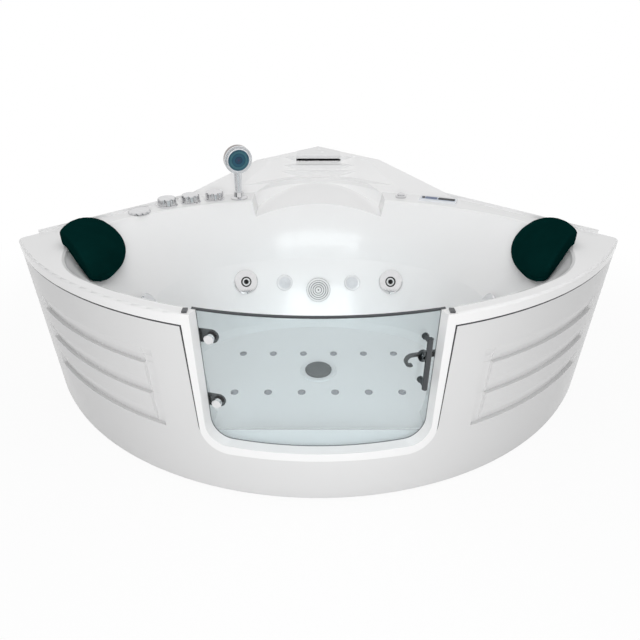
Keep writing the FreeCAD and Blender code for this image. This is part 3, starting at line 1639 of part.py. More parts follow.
# ---------------------------------------------------------------- head pillows


def pillow():
    """Crowned oval pad whose back follows the deck and the backrest."""
    across = size("pillow_width") / 2
    along = size("pillow_length") / 2
    proud = size("pillow_depth") / 2
    tight = (across**2 + proud**2) / (2 * proud)
    wide = (along**2 + proud**2) / (2 * proud)
    crown = Part.makeTorus(wide - tight, tight, Vector(0, 0, proud - wide), Vector(1, 0, 0))
    core = Part.makeCylinder(
        wide - tight, 2 * tight, Vector(-tight, 0, proud - wide), Vector(1, 0, 0)
    )
    oval = Part.Ellipse(Vector(0, 0, -along), along, across).toShape()
    prism = Part.Face(Part.Wire([oval])).extrude(UP * 2 * along)
    prism.rotate(Vector(0, 0, 0), UP, 90)
    pad = prism.common(crown.fuse(core))
    pad.rotate(Vector(0, 0, 0), Vector(0, 1, 0), size("pillow_slope"))
    pad.translate(
        Vector(-size("pillow_across"), at_reach(size("pillow_reach")), size("pillow_height"))
    )
    clear = Vector(size("pillow_clear"), 0, size("pillow_clear"))
    inside = basin_inside.copy()
    inside.translate(clear)
    reach = size("front_radius")
    above = block(
        Vector(-reach, -reach, deck_z + size("pillow_clear")), Vector(reach, reach, 2 * deck_z)
    )
    return pad.common(inside.fuse(above))


left_pillow = pillow()
solid("pillow_left", left_pillow)
solid("pillow_right", mirrored(left_pillow))

# ---------------------------------------------------------------- frame and feet

tube = size("tube")
floor_under = size("floor_height - skin")
beam_top = floor_under
beam_low = beam_top - tube


def beam(reach):
    """Square tube across the bath under its floor."""
    middle = at_reach(reach)
    half_length = size("beam_half")
    return block(
        Vector(-half_length, middle - tube / 2, beam_low),
        Vector(half_length, middle + tube / 2, beam_top),
    )


def post(side):
    """Rear post under the deck with its run forward to the beams."""
    x = side * size("post_across")
    y = at_reach(size("post_reach"))
    upright_tube = block(
        Vector(x - tube / 2, y - tube / 2, beam_low - tube),
        Vector(x + tube / 2, y + tube / 2, deck_z - size("skin")),
    )
    run = block(
        Vector(x - tube / 2, at_reach(size("beam_front_reach")) - tube / 2, beam_low - tube),
        Vector(x + tube / 2, y + tube / 2, beam_low),
    )
    return [upright_tube, run]


frame = united(
    [beam(size("beam_back_reach")), beam(size("beam_front_reach"))] + post(-1) + post(1)
)
foot_spots = [
    Vector(side * across, at_reach(reach), under)
    for side in (-1, 1)
    for across, reach, under in (
        (size("post_across"), size("post_reach"), beam_low - tube),
        (size("beam_half") - 2 * tube, size("beam_back_reach"), beam_low),
        (size("post_across"), size("beam_front_reach"), beam_low - tube),
    )
]


def foot(spot):
    """Pad on a screw that runs up into the tube above it."""
    pad = size("foot_radius")
    screw = size("foot_screw_radius")
    top = spot.z + size("foot_screw_entry")
    rise = size("foot_height")
    outline = ((0, 0), (pad, 0), (pad, rise - 6), (screw + 4, rise), (screw, rise), (screw, top), (0, top))
    return placed(turned(outline), upright(spot.x, spot.y, 0))


screw_holes = [
    Part.makeCylinder(
        size("foot_screw_radius"), spot.z + size("foot_screw_entry"), Vector(spot.x, spot.y, 0)
    )
    for spot in foot_spots
]
solid("support_frame", frame.cut(group(screw_holes)))
solid("levelling_feet", group([foot(spot) for spot in foot_spots]))

# ---------------------------------------------------------------- pump, blower, pipes, control box


def shelf(side):
    """Plate that carries a machine, held under the ends of the beams."""
    inner = side * (size("beam_half") - tube)
    outer = side * (size("pump_across") + size("pump_radius"))
    low_x, high_x = min(inner, outer), max(inner, outer)
    front = size("pump_reach + pump_radius") + tube
    back = size("beam_back_reach") - tube / 2
    return block(
        Vector(low_x, at_reach(front), beam_low - size("shelf_thickness")),
        Vector(high_x, at_reach(back), beam_low),
    )


backward = Vector(0, 1, 0)
neck = size("pump_neck")
pump_axis = Vector(
    -size("pump_across"), at_reach(size("pump_reach - pump_length / 2")), size("pump_height")
)
motor = Part.makeCylinder(size("pump_radius"), size("pump_length"), pump_axis, backward * -1)
fan_end = Part.makeCylinder(
    size("pump_radius") - neck / 2,
    neck,
    pump_axis - backward * size("pump_length"),
    backward * -1,
)
volute = Part.makeCylinder(size("volute_radius"), size("volute_depth"), pump_axis, backward)
inlet_start = pump_axis + backward * size("volute_depth")
inlet_end = inlet_start + backward * 1.5 * neck
inlet = rod(inlet_start, inlet_end, size("pipe_radius"))
saddle_half = size("pump_radius") * 0.65
saddle = block(
    Vector(pump_axis.x - saddle_half, pump_axis.y - size("pump_length") + neck, beam_low),
    Vector(pump_axis.x + saddle_half, pump_axis.y - neck, pump_axis.z),
)
discharge = pump_axis + backward * size("volute_depth / 2")
outlet_top = discharge + UP * (size("volute_radius") + neck)
discharge_neck = rod(discharge, outlet_top, size("stub_radius") + 3)
pump = united([motor, fan_end, volute, inlet, saddle, discharge_neck, shelf(-1)])
solid("water_pump", pump)

blower_seat = Vector(size("pump_across"), at_reach(size("pump_reach")), beam_low)
blower_cap = blower_seat + UP * size("blower_height")
blower_parts = [
    Part.makeCylinder(size("blower_radius"), size("blower_height"), blower_seat),
    Part.makeCylinder(size("blower_radius") - neck, neck, blower_cap),
    shelf(1),
]
blower = united(blower_parts)
solid("air_blower", blower)


def pipe_run(points, radius):
    """Pipe of straight lengths with ball elbows."""
    shapes = [rod(start, end, radius) for start, end in zip(points, points[1:])]
    shapes += [Part.makeSphere(radius, point) for point in points[1:-1]]
    return united(shapes)


def behind(place, distance):
    """Point behind a wall fitting."""
    return place.multVec(Vector(0, 0, -size("housing_length") - distance))


branch = size("branch_length")
ends = {jet: behind(place, branch) for jet, place in JETS.items()}
header_z = ends["left"].z
bend = Vector(-size("header_bend"), ends["left"].y - size("jet_radius"), header_z)
back_run = Vector(-size("header_half"), ends["left"].y + size("jet_radius"), header_z)
left_half = [ends["side_left"], bend, ends["left"], back_run]
right_half = [Vector(-point.x, point.y, point.z) for point in reversed(left_half)]
header = pipe_run(left_half + right_half, size("stub_radius"))
branches = [
    rod(behind(place, 0), behind(place, branch), size("stub_radius")) for place in JETS.values()
]
riser = pipe_run([outlet_top, ends["side_left"]], size("stub_radius"))
suction_low = beam_top - size("rail_radius")
suction_y = at_reach(size("post_reach")) - tube / 2
suction_path = [
    behind(SUCTION, 0),
    behind(SUCTION, 1.5 * branch),
    Vector(0, suction_y, suction_low),
    Vector(-size("suction_bend"), suction_y, suction_low),
    Vector(pump_axis.x, at_reach(size("beam_back_reach")) + tube, suction_low),
    inlet_end,
]
delivery = united([header, riser] + branches)
suction_pipe = pipe_run(suction_path, size("pipe_radius"))
solid("water_pipes", group([delivery, suction_pipe]).cut(pump))

injector_tail = size("bubbler_tail")
rail_z = size("floor_height") - injector_tail - size("rail_radius")
manifold_x = BUBBLERS[-1].x + size("bubbler_pitch / 2")
manifold_radius = size("rail_radius + drain_wall")
front_y = at_reach(size("bubbler_front_reach"))
back_y = at_reach(size("bubbler_back_reach"))
rails = [
    rod(
        Vector(BUBBLERS[0].x - size("bubbler_radius"), y, rail_z),
        Vector(manifold_x, y, rail_z),
        size("rail_radius"),
    )
    for y in (front_y, back_y)
]
manifold = rod(
    Vector(manifold_x, front_y - size("bubbler_radius"), rail_z),
    Vector(manifold_x, back_y + size("bubbler_radius"), rail_z),
    manifold_radius,
)
to_blower = rod(
    Vector(manifold_x, blower_seat.y, rail_z),
    Vector(blower_seat.x - size("blower_radius / 2"), blower_seat.y, rail_z),
    size("rail_radius"),
)
solid("air_pipes", united([manifold, to_blower] + rails).cut(blower))

box_turn = Rotation(UP, -45)
box_middle = Vector(size("box_along"), corner_y - size("box_along"), 0)
box_inward = box_turn.multVec(Vector(0, -1, 0)) * size("box_inset")
box_sink = UP * (deck_z - size("skin + box_height"))
plate(
    "control_box",
    (
        ("0 - box_length / 2", "0 - box_depth / 2"),
        ("box_length / 2", "0 - box_depth / 2"),
        ("box_length / 2", "box_depth / 2"),
        ("0 - box_length / 2", "box_depth / 2"),
    ),
    "box_height",
    Placement(box_middle + box_inward + box_sink, box_turn),
)

doc.recompute()

os.makedirs("parts", exist_ok=True)
for name, piece in pieces.items():
    state = piece.State
    if "Invalid" in state or "Error" in state or piece.Shape.isNull() or not piece.Shape.isValid():
        raise RuntimeError(f"{name} did not build: {state}")
    piece.Shape.exportStep(f"parts/{name}.step")
print(len(pieces), "pieces")
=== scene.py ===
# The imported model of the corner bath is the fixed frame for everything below.
import json
import math

import bmesh
import bpy
from mathutils import Matrix, Vector


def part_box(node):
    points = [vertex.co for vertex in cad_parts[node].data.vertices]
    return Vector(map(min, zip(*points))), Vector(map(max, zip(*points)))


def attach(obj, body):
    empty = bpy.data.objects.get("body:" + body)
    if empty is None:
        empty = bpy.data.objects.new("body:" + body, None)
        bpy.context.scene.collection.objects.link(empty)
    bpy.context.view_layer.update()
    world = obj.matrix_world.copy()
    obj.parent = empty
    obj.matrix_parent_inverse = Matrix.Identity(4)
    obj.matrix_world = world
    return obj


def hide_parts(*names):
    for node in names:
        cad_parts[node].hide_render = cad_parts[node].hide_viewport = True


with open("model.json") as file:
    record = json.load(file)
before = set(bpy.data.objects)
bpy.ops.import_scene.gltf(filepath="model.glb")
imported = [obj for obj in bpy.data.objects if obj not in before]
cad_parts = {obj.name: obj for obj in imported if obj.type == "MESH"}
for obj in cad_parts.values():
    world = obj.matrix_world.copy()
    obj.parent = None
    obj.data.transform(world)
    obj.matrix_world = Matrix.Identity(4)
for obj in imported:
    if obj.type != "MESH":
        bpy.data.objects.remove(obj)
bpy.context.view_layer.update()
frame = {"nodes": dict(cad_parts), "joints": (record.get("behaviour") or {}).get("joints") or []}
nodes = frame["nodes"]

# Camera: stands in front of the bath at eye height and looks down into it. The picture's
# main point lies a little above its middle, so the lens is shifted.
PHOTO_SIZE = 640
FOCAL_PIXELS = 510
MAIN_POINT_X = 318.4
MAIN_POINT_Y = 300
EYE = Vector((0, -1.730, 1.200))
EYE_PITCH = math.radians(28.7)

lens = bpy.data.cameras.new("photo_camera")
lens.sensor_width = 36
lens.lens = FOCAL_PIXELS / PHOTO_SIZE * lens.sensor_width
lens.shift_x = (PHOTO_SIZE / 2 - MAIN_POINT_X) / PHOTO_SIZE
lens.shift_y = (MAIN_POINT_Y - PHOTO_SIZE / 2) / PHOTO_SIZE
lens.clip_start = 0.05
camera = bpy.data.objects.new("photo_camera", lens)
camera.location = EYE
camera.rotation_euler = (math.pi / 2 - EYE_PITCH, 0, 0)
bpy.context.scene.collection.objects.link(camera)
bpy.context.scene.camera = camera
bpy.context.scene.view_settings.view_transform = "Standard"

# Studio: a pale floor that looks white to the camera, in polished metal and through glass, and
# still takes the soft shadow of the bath. Further out it fades into the white backdrop.
BACKDROP_WHITE = (1.0, 1.0, 1.0, 1)
SKY_TINT = (0.96, 0.96, 0.965, 1)
SKY_STRENGTH = 0.36
PAPER_WHITE = (0.92, 0.92, 0.92, 1)
PAPER_RADIUS = 9
PAPER_DROP = 0.001
SHADOW_SHARE = 0.07
SHADOW_REACH = 1.25
BACKDROP_REACH = 2.2


def reckon(tree, operation, *terms):
    """One step of arithmetic in a node tree, on sockets and numbers."""
    step = tree.nodes.new("ShaderNodeMath")
    step.operation = operation
    for place, term in enumerate(terms):
        if isinstance(term, (int, float)):
            step.inputs[place].default_value = term
        else:
            tree.links.new(term, step.inputs[place])
    return step.outputs[0]


def seen_rays(tree):
    """1 for rays from the camera, off a glossy surface or through glass."""
    rays = tree.nodes.new("ShaderNodeLightPath").outputs
    bounced = reckon(tree, "MAXIMUM", rays["Is Glossy Ray"], rays["Is Transmission Ray"])
    return reckon(tree, "MAXIMUM", rays["Is Camera Ray"], bounced)


def show_mixed(tree, share, plain, other, end):
    """Sends a mix of two shaders to the end of a node tree."""
    blend = tree.nodes.new("ShaderNodeMixShader")
    for socket, source in zip(blend.inputs, (share, plain, other)):
        tree.links.new(source, socket)
    tree.links.new(blend.outputs[0], tree.nodes[end].inputs["Surface"])


def shader(name):
    """New material, its node tree and its main shader."""
    material = bpy.data.materials.new(name)
    material.use_nodes = True
    tree = material.node_tree
    return material, tree, tree.nodes["Principled BSDF"]


world = bpy.data.worlds.new("studio")
world.use_nodes = True
bpy.context.scene.world = world
sky = world.node_tree.nodes["Background"]
sky.inputs["Color"].default_value = SKY_TINT
sky.inputs["Strength"].default_value = SKY_STRENGTH
backdrop = world.node_tree.nodes.new("ShaderNodeBackground")
backdrop.inputs["Color"].default_value = BACKDROP_WHITE
backdrop.inputs["Strength"].default_value = 1.0
show_mixed(
    world.node_tree, seen_rays(world.node_tree), sky.outputs[0], backdrop.outputs[0], "World Output"
)

floor_mesh = bpy.data.meshes.new("floor")
form = bmesh.new()
bmesh.ops.create_circle(form, cap_ends=True, segments=96, radius=PAPER_RADIUS)
form.to_mesh(floor_mesh)
form.free()
floor = bpy.data.objects.new("floor", floor_mesh)
floor.location.z = -PAPER_DROP
bpy.context.scene.collection.objects.link(floor)
paper, paper_tree, paper_main = shader("studio_floor")
paper_main.inputs["Base Color"].default_value = PAPER_WHITE
paper_main.inputs["Roughness"].default_value = 0.9
glow = paper_tree.nodes.new("ShaderNodeEmission")
glow.inputs["Color"].default_value = BACKDROP_WHITE
paper_place = paper_tree.nodes.new("ShaderNodeTexCoord")
distance = paper_tree.nodes.new("ShaderNodeVectorMath")
distance.operation = "LENGTH"
paper_tree.links.new(paper_place.outputs["Object"], distance.inputs[0])
fade = paper_tree.nodes.new("ShaderNodeMapRange")
fade.interpolation_type = "SMOOTHSTEP"
fade.inputs["From Min"].default_value = SHADOW_REACH
fade.inputs["From Max"].default_value = BACKDROP_REACH
fade.inputs["To Min"].default_value = 1 - SHADOW_SHARE
fade.inputs["To Max"].default_value = 1.0
paper_tree.links.new(distance.outputs["Value"], fade.inputs["Value"])
glow_share = reckon(paper_tree, "MULTIPLY", seen_rays(paper_tree), fade.outputs["Result"])
show_mixed(paper_tree, glow_share, paper_main.outputs[0], glow.outputs[0], "Material Output")
floor_mesh.materials.append(paper)


def soft_lamp(name, place, aim, width, height, watts):
    """Large square lamp turned towards a point, that leaves no bright square in the gloss."""
    light = bpy.data.lights.new(name, "AREA")
    light.shape = "RECTANGLE"
    light.size = width
    light.size_y = height
    light.energy = watts
    holder = bpy.data.objects.new(name, light)
    holder.location = place
    holder.visible_glossy = False
    holder.rotation_euler = (Vector(aim) - Vector(place)).to_track_quat("-Z", "Y").to_euler()
    bpy.context.scene.collection.objects.link(holder)


soft_lamp(
    "overhead_lamp", place=(0, 0, 3.0), aim=(0, -0.1, 0.3), width=2.6, height=2.0, watts=28
)
soft_lamp(
    "front_lamp", place=(0, -2.6, 1.15), aim=(0, 0.3, 0.4), width=1.2, height=0.9, watts=25
)

# Moulded acrylic shell and apron: white sheet drawn over a mould and polished. The gloss is a
# clear top skin with a faint orange peel, and the white drifts by a percent from place to place.
SHELL_WHITE = (0.925, 0.925, 0.925)
# The apron's white is darker than the shell's as painted shade on its upright front; both are the
# same acrylic.
APRON_SHADED_WHITE = (0.765, 0.765, 0.765)
CLOUD_LOW = 0.3
CLOUD_HIGH = 0.7
GLOSS_SPREAD = 0.3
GRAIN_DEPTH = 0.0004
SOCKETS = {
    "metallic": "Metallic",
    "coat_weight": "Coat Weight",
    "specular_ior_level": "Specular IOR Level",
}


def own_place(tree):
    """Place on the piece, in its own coordinates."""
    return tree.nodes.new("ShaderNodeTexCoord").outputs["Object"]


def mottle(tree, place, scale, detail=2.0):
    """Soft irregular pattern on a piece."""
    noise = tree.nodes.new("ShaderNodeTexNoise")
    noise.inputs["Scale"].default_value = scale
    noise.inputs["Detail"].default_value = detail
    tree.links.new(place, noise.inputs["Vector"])
    return noise.outputs["Fac"]


def uneven_gloss(tree, main, pattern, smoothest, roughest):
    """Lets the roughness follow a pattern, as polish and handling leave it."""
    gloss = tree.nodes.new("ShaderNodeMapRange")
    gloss.inputs["To Min"].default_value = smoothest
    gloss.inputs["To Max"].default_value = roughest
    tree.links.new(pattern, gloss.inputs["Value"])
    tree.links.new(gloss.outputs["Result"], main.inputs["Roughness"])


def fine_grain(tree, main, pattern, strength):
    """Very low relief of the skin."""
    bump = tree.nodes.new("ShaderNodeBump")
    bump.inputs["Strength"].default_value = strength
    bump.inputs["Distance"].default_value = GRAIN_DEPTH
    tree.links.new(pattern, bump.inputs["Height"])
    tree.links.new(bump.outputs["Normal"], main.inputs["Normal"])


def finish(name, colour, roughness, drift=0.02, clouds=2.0, grain=0.03, grains=240.0, **constants):
    """Material with slow clouds of colour and gloss and a fine grain. Its constants are sockets."""
    material, tree, main = shader(name)
    for socket, value in constants.items():
        main.inputs[SOCKETS[socket]].default_value = value
    place = own_place(tree)
    cloud = mottle(tree, place, clouds, detail=3)
    tones = tree.nodes.new("ShaderNodeValToRGB")
    darker, lighter = tones.color_ramp.elements
    darker.position = CLOUD_LOW
    darker.color = [part * (1 - drift) for part in colour] + [1]
    lighter.position = CLOUD_HIGH
    lighter.color = [*colour, 1]
    tree.links.new(cloud, tones.inputs["Fac"])
    tree.links.new(tones.outputs["Color"], main.inputs["Base Color"])
    uneven_gloss(tree, main, cloud, roughness * (1 - GLOSS_SPREAD), roughness * (1 + GLOSS_SPREAD))
    fine_grain(tree, main, mottle(tree, place, grains, detail=1), grain)
    return material


def dress(material, *names):
    """Gives modelled parts their finish."""
    for name in names:
        nodes[name].data.materials.clear()
        nodes[name].data.materials.append(material)


shell_acrylic = finish(
    "shell_acrylic", SHELL_WHITE, roughness=0.16, drift=0.015, specular_ior_level=0.4,
    coat_weight=0.15,
)
dress(shell_acrylic, "tub_shell")
apron_acrylic_shaded = finish(
    "apron_acrylic_shaded", APRON_SHADED_WHITE, roughness=0.22, drift=0.02, specular_ior_level=0.1
)
dress(apron_acrylic_shaded, "front_skirt")

# Shadow gap: painted shade on the apron's cut edges, under the rim and round the door surround,
# where the gap between apron and shell lies in shadow. It shows as a thin dark line.
SHADOW_GAP_GREY = (0.09, 0.09, 0.095, 1)
SHADOW_GAP_LOW = 0.5568
SHADOW_GAP_WIDE = 0.0028
DECK_HEIGHT = 0.595
CUT_FOOT = 0.161
CUT_CORNER = 0.081
CUT_FOOT_HALF = 0.320
CUT_TOP_HALF = 0.332
CUT_LEAN = (CUT_TOP_HALF - CUT_FOOT_HALF) / (DECK_HEIGHT - CUT_FOOT)


def two_tone(tree, share, plain, other):
    """Colour that changes from one tone to another where a share is 1."""
    blend = tree.nodes.new("ShaderNodeMix")
    blend.data_type = "RGBA"
    tree.links.new(share, blend.inputs["Factor"])
    for socket, tone in (("A", plain), ("B", other)):
        if isinstance(tone, tuple):
            blend.inputs[socket].default_value = tone
        else:
            tree.links.new(tone, blend.inputs[socket])
    return blend.outputs["Result"]


apron_tree = apron_acrylic_shaded.node_tree
apron_base = apron_tree.nodes["Principled BSDF"].inputs["Base Color"]
apron_split = apron_tree.nodes.new("ShaderNodeSeparateXYZ")
apron_tree.links.new(own_place(apron_tree), apron_split.inputs[0])
height = apron_split.outputs["Z"]
aside = reckon(apron_tree, "ABSOLUTE", apron_split.outputs["X"])
straight_half = reckon(
    apron_tree, "MULTIPLY_ADD", height, CUT_LEAN, CUT_FOOT_HALF - CUT_LEAN * CUT_FOOT - CUT_CORNER
)
past_side = reckon(apron_tree, "SUBTRACT", aside, straight_half)
past_side = reckon(apron_tree, "MAXIMUM", past_side, 0.0)
past_foot = reckon(apron_tree, "SUBTRACT", CUT_FOOT + CUT_CORNER, height)
past_foot = reckon(apron_tree, "MAXIMUM", past_foot, 0.0)
foot_square = reckon(apron_tree, "MULTIPLY", past_foot, past_foot)
from_corner = reckon(apron_tree, "MULTIPLY_ADD", past_side, past_side, foot_square)
from_corner = reckon(apron_tree, "SQRT", from_corner)
# Painted shade: darker near the door cut-out's outline and above a height just under the rim.
gap_shade_by_door = reckon(apron_tree, "LESS_THAN", from_corner, CUT_CORNER + SHADOW_GAP_WIDE)
gap_shade_under_rim = reckon(apron_tree, "GREATER_THAN", height, SHADOW_GAP_LOW)
shadow_gap_share = reckon(apron_tree, "MAXIMUM", gap_shade_by_door, gap_shade_under_rim)
apron_with_gap_shade = two_tone(apron_tree, shadow_gap_share, apron_base.links[0].from_socket, SHADOW_GAP_GREY)
apron_tree.links.new(apron_with_gap_shade, apron_base)

# Frame and feet: square steel tube, welded and painted zinc grey, that carries the shell at its
# rim. Each foot is a plated screw on a black rubber pad, turned to level the bath.
UP = Vector((0, 0, 1))
PAD_TOP = 0.014
FOOT_TALL = 0.2
EDGE_WAVER = 0.01


def banded(name, centre, axis, bands, along=False, grain=0.02, grains=300.0):
    """Material in bands of (reach, colour, metallic, roughness) round an axis, or along it."""
    material, tree, main = shader(name)
    place = own_place(tree)
    turn = tree.nodes.new("ShaderNodeMapping")
    turn.vector_type = "TEXTURE"
    turn.inputs["Location"].default_value = centre
    turn.inputs["Rotation"].default_value = Vector(axis).to_track_quat("Z", "Y").to_euler()
    tree.links.new(place, turn.inputs["Vector"])
    chosen = tree.nodes.new("ShaderNodeVectorMath")
    chosen.operation = "MULTIPLY"
    chosen.inputs[1].default_value = (0, 0, 1) if along else (1, 1, 0)
    tree.links.new(turn.outputs["Vector"], chosen.inputs[0])
    length = tree.nodes.new("ShaderNodeVectorMath")
    length.operation = "LENGTH"
    tree.links.new(chosen.outputs["Vector"], length.inputs[0])
    outer = bands[-1][0]
    stains = mottle(tree, place, grains)
    reach = reckon(tree, "DIVIDE", length.outputs["Value"], outer)
    reach = reckon(tree, "MULTIPLY_ADD", stains, EDGE_WAVER, reach)
    for socket, column in (("Base Color", 1), ("Metallic", 2), ("Roughness", 3)):
        ramp = tree.nodes.new("ShaderNodeValToRGB")
        steps = ramp.color_ramp
        steps.interpolation = "CONSTANT"
        steps.elements.remove(steps.elements[1])
        inner = 0.0
        for band in bands:
            step = steps.elements[0] if inner == 0.0 else steps.elements.new(inner)
            value = band[column]
            step.color = [*value, 1] if column == 1 else [value, value, value, 1]
            inner = band[0] / outer
        tree.links.new(reach, ramp.inputs["Fac"])
        tree.links.new(ramp.outputs["Color"], main.inputs[socket])
    fine_grain(tree, main, stains, grain)
    return material


zinc_grey_paint = finish(
    "zinc_grey_paint", (0.44, 0.46, 0.47), roughness=0.45, drift=0.12, clouds=14, grain=0.12,
    grains=500, metallic=0.2,
)
dress(zinc_grey_paint, "support_frame")
FOOT_BANDS = [
    (PAD_TOP, (0.02, 0.02, 0.02), 0.0, 0.7),
    (FOOT_TALL, (0.62, 0.62, 0.60), 1.0, 0.35),
]
foot_pad_and_screw = banded(
    "foot_pad_and_screw", (0, 0, 0), UP, FOOT_BANDS, along=True, grain=0.1
)
dress(foot_pad_and_screw, "levelling_feet")

# Glass door: one curved sheet of clear safety glass with a faint blue-grey body, in a grey soft
# seal, with a dark edging strip on top. Shadow light goes through it, so the basin stays bright.
GLASS_TINT = (0.70, 0.755, 0.77, 1)
SEAL_GREY = (0.16, 0.17, 0.175)
EDGING_DARK = (0.035, 0.04, 0.045)
SMEAR_ROUGHNESS = 0.02

safety_glass, glass_tree, glass_main = shader("door_safety_glass")
glass_main.inputs["Base Color"].default_value = GLASS_TINT
glass_main.inputs["IOR"].default_value = 1.45
glass_main.inputs["Transmission Weight"].default_value = 1.0
smears = mottle(glass_tree, own_place(glass_tree), scale=5)
uneven_gloss(glass_tree, glass_main, smears, 0.0, SMEAR_ROUGHNESS)
through = glass_tree.nodes.new("ShaderNodeBsdfTransparent")
through.inputs["Color"].default_value = GLASS_TINT
glass_path = glass_tree.nodes.new("ShaderNodeLightPath")
show_mixed(
    glass_tree, glass_path.outputs["Is Shadow Ray"], glass_main.outputs[0], through.outputs[0],
    "Material Output",
)
dress(safety_glass, "door_glass")
soft_grey_seal = finish(
    "soft_grey_seal", SEAL_GREY, roughness=0.5, drift=0.06, clouds=20, grain=0.08, grains=500
)
dress(soft_grey_seal, "door_seal")
dark_edging = finish(
    "dark_edging", EDGING_DARK, roughness=0.45, drift=0.1, clouds=20, grain=0.05, grains=500
)
dress(dark_edging, "door_top_trim")

# Door furniture: brass castings, polished and chromed, on stainless pins. Round caps and nuts
# clamp the glass, and the pull bar stands outside on two posts.
# The hinge plates, pull bar and latch share a chrome painted near black, far darker than the caps'
# chrome; on the hinge plates it is painted shade, as they sit in shadow behind the glass.
DOOR_CHROME_PAINTED_DARK = (0.10, 0.105, 0.11)
CAP_CHROME = (0.80, 0.80, 0.81)
PIN_STEEL = (0.55, 0.55, 0.54)
CLIP_GREY = (0.12, 0.125, 0.13)

door_chrome_painted_dark = finish(
    "door_chrome_painted_dark", DOOR_CHROME_PAINTED_DARK, roughness=0.16, drift=0.2, clouds=30, grain=0.01, grains=700,
    metallic=1.0,
)
dress(
    door_chrome_painted_dark,
    "hinge_brackets", "hinge_plates", "door_pull", "pull_nuts", "latch_base", "latch_lever",
    "latch_keeper",
)
cap_chrome = finish(
    "cap_chrome", CAP_CHROME, roughness=0.08, drift=0.06, clouds=30, grain=0.01, grains=700,
    metallic=1.0,
)
dress(cap_chrome, "hinge_caps")
pin_steel = finish(
    "pin_steel", PIN_STEEL, roughness=0.25, drift=0.1, clouds=40, grain=0.05, grains=600,
    metallic=1.0,
)
dress(pin_steel, "hinge_pins")
clip_grey = finish(
    "clip_grey", CLIP_GREY, roughness=0.3, drift=0.08, clouds=30, grain=0.03, grains=500,
    metallic=0.6,
)
dress(clip_grey, "door_end_clips")

# Taps and regulator: chromed knobs with fluted sides on low chromed rings, held to the deck by
# the nuts of cast brass valves underneath. The air regulator's body is white plastic.
TAP_CHROME = (0.66, 0.66, 0.67)
CAST_BRASS = (0.60, 0.43, 0.19)
FITTING_WHITE = (0.72, 0.72, 0.70)

tap_chrome = finish(
    "tap_chrome", TAP_CHROME, roughness=0.07, drift=0.06, clouds=60, grain=0.01, grains=700,
    metallic=1.0,
)
dress(
    tap_chrome,
    "tap_knob_hot", "tap_knob_cold", "tap_knob_diverter", "air_regulator", "tap_rings",
    "air_switch_bezel", "air_switch_button", "shower_holder",
)
cast_brass = finish(
    "cast_brass", CAST_BRASS, roughness=0.4, drift=0.2, clouds=50, grain=0.25, grains=400,
    metallic=1.0,
)
dress(cast_brass, "tap_valves")
white_fittings = finish(
    "white_fittings", FITTING_WHITE, roughness=0.5, drift=0.05, clouds=30, grain=0.1, grains=500
)
dress(white_fittings, "air_regulator_body", "air_switch_body", "control_module", "waste_trap")

# Knob marks: a small dark enamel dot low on the side of each tap knob, set in a drilled seat,
# that shows how far the knob is turned.
MARK_RADIUS = 0.0026
MARK_THICK = 0.0016
MARK_SUNK = 0.8
MARK_HEIGHT = 0.012
MARK_ANGLE = math.radians(-62)
KNOB_TALL = 0.025


def rounded(form, edges, reach, segments):
    """Rounds some edges of a form."""
    bmesh.ops.bevel(
        form, geom=edges, offset=reach, segments=segments, profile=0.5, affect="EDGES",
        material=-1,
    )


def placed(name, form, material):
    """Makes a finished form an object with its material."""
    mesh = bpy.data.meshes.new(name)
    form.to_mesh(mesh)
    form.free()
    mesh.materials.append(material)
    piece = bpy.data.objects.new(name, mesh)
    bpy.context.scene.collection.objects.link(piece)
    return piece


mark_enamel = finish(
    "mark_enamel", (0.02, 0.02, 0.022), roughness=0.25, drift=0.1, clouds=80, grain=0.02,
    grains=700,
)
side_way = Vector((math.cos(MARK_ANGLE), math.sin(MARK_ANGLE), 0))
for tap in ("hot", "cold", "diverter"):
    low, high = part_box(f"tap_knob_{tap}")
    seat = (low + high) / 2 + side_way * ((high.x - low.x) / 2 - MARK_THICK * MARK_SUNK)
    seat.z = high.z - KNOB_TALL + MARK_HEIGHT
    form = bmesh.new()
    bmesh.ops.create_cone(
        form, cap_ends=True, segments=24, radius1=MARK_RADIUS, radius2=MARK_RADIUS,
        depth=MARK_THICK,
    )
    rim = [edge for edge in form.edges if len({vert.co.z for vert in edge.verts}) == 1]
    rounded(form, rim, MARK_THICK / 4, segments=2)
    turn = side_way.to_track_quat("Z", "Y").to_matrix().to_4x4()
    bmesh.ops.transform(form, matrix=Matrix.Translation(seat) @ turn, verts=form.verts)
    mark = placed(f"{tap}_mark", form, mark_enamel)
    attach(mark, f"{tap}_knob")

# Hand shower: chromed plastic handle and head, warm grey behind the face, that stands in a ring
# on the deck. The face is a blue-green disc with soft nozzles in rings.
HEAD_AXIS = Vector((0.4, -0.9, -0.12)).normalized()
HEAD_HEIGHT = 0.156
HEAD_FORWARD = 0.031
HEAD_BACK = -0.005
NECK_LOW = -0.053
SHOWER_CHROME = (0.80, 0.81, 0.83, 1)
BACK_GREY = (0.33, 0.30, 0.29, 1)
FACE_BANDS = [
    (0.004, (0.05, 0.04, 0.09), 0.2, 0.3),
    (0.012, (0.02, 0.06, 0.12), 0.2, 0.3),
    (0.014, (0.01, 0.03, 0.06), 0.2, 0.3),
    (0.024, (0.02, 0.10, 0.16), 0.2, 0.3),
    (0.026, (0.01, 0.06, 0.10), 0.2, 0.3),
    (0.034, (0.05, 0.16, 0.20), 0.2, 0.3),
    (0.036, (0.02, 0.08, 0.12), 0.2, 0.3),
    (0.040, (0.03, 0.11, 0.16), 0.2, 0.3),
    (0.046, (0.80, 0.81, 0.83), 0.4, 0.2),
]

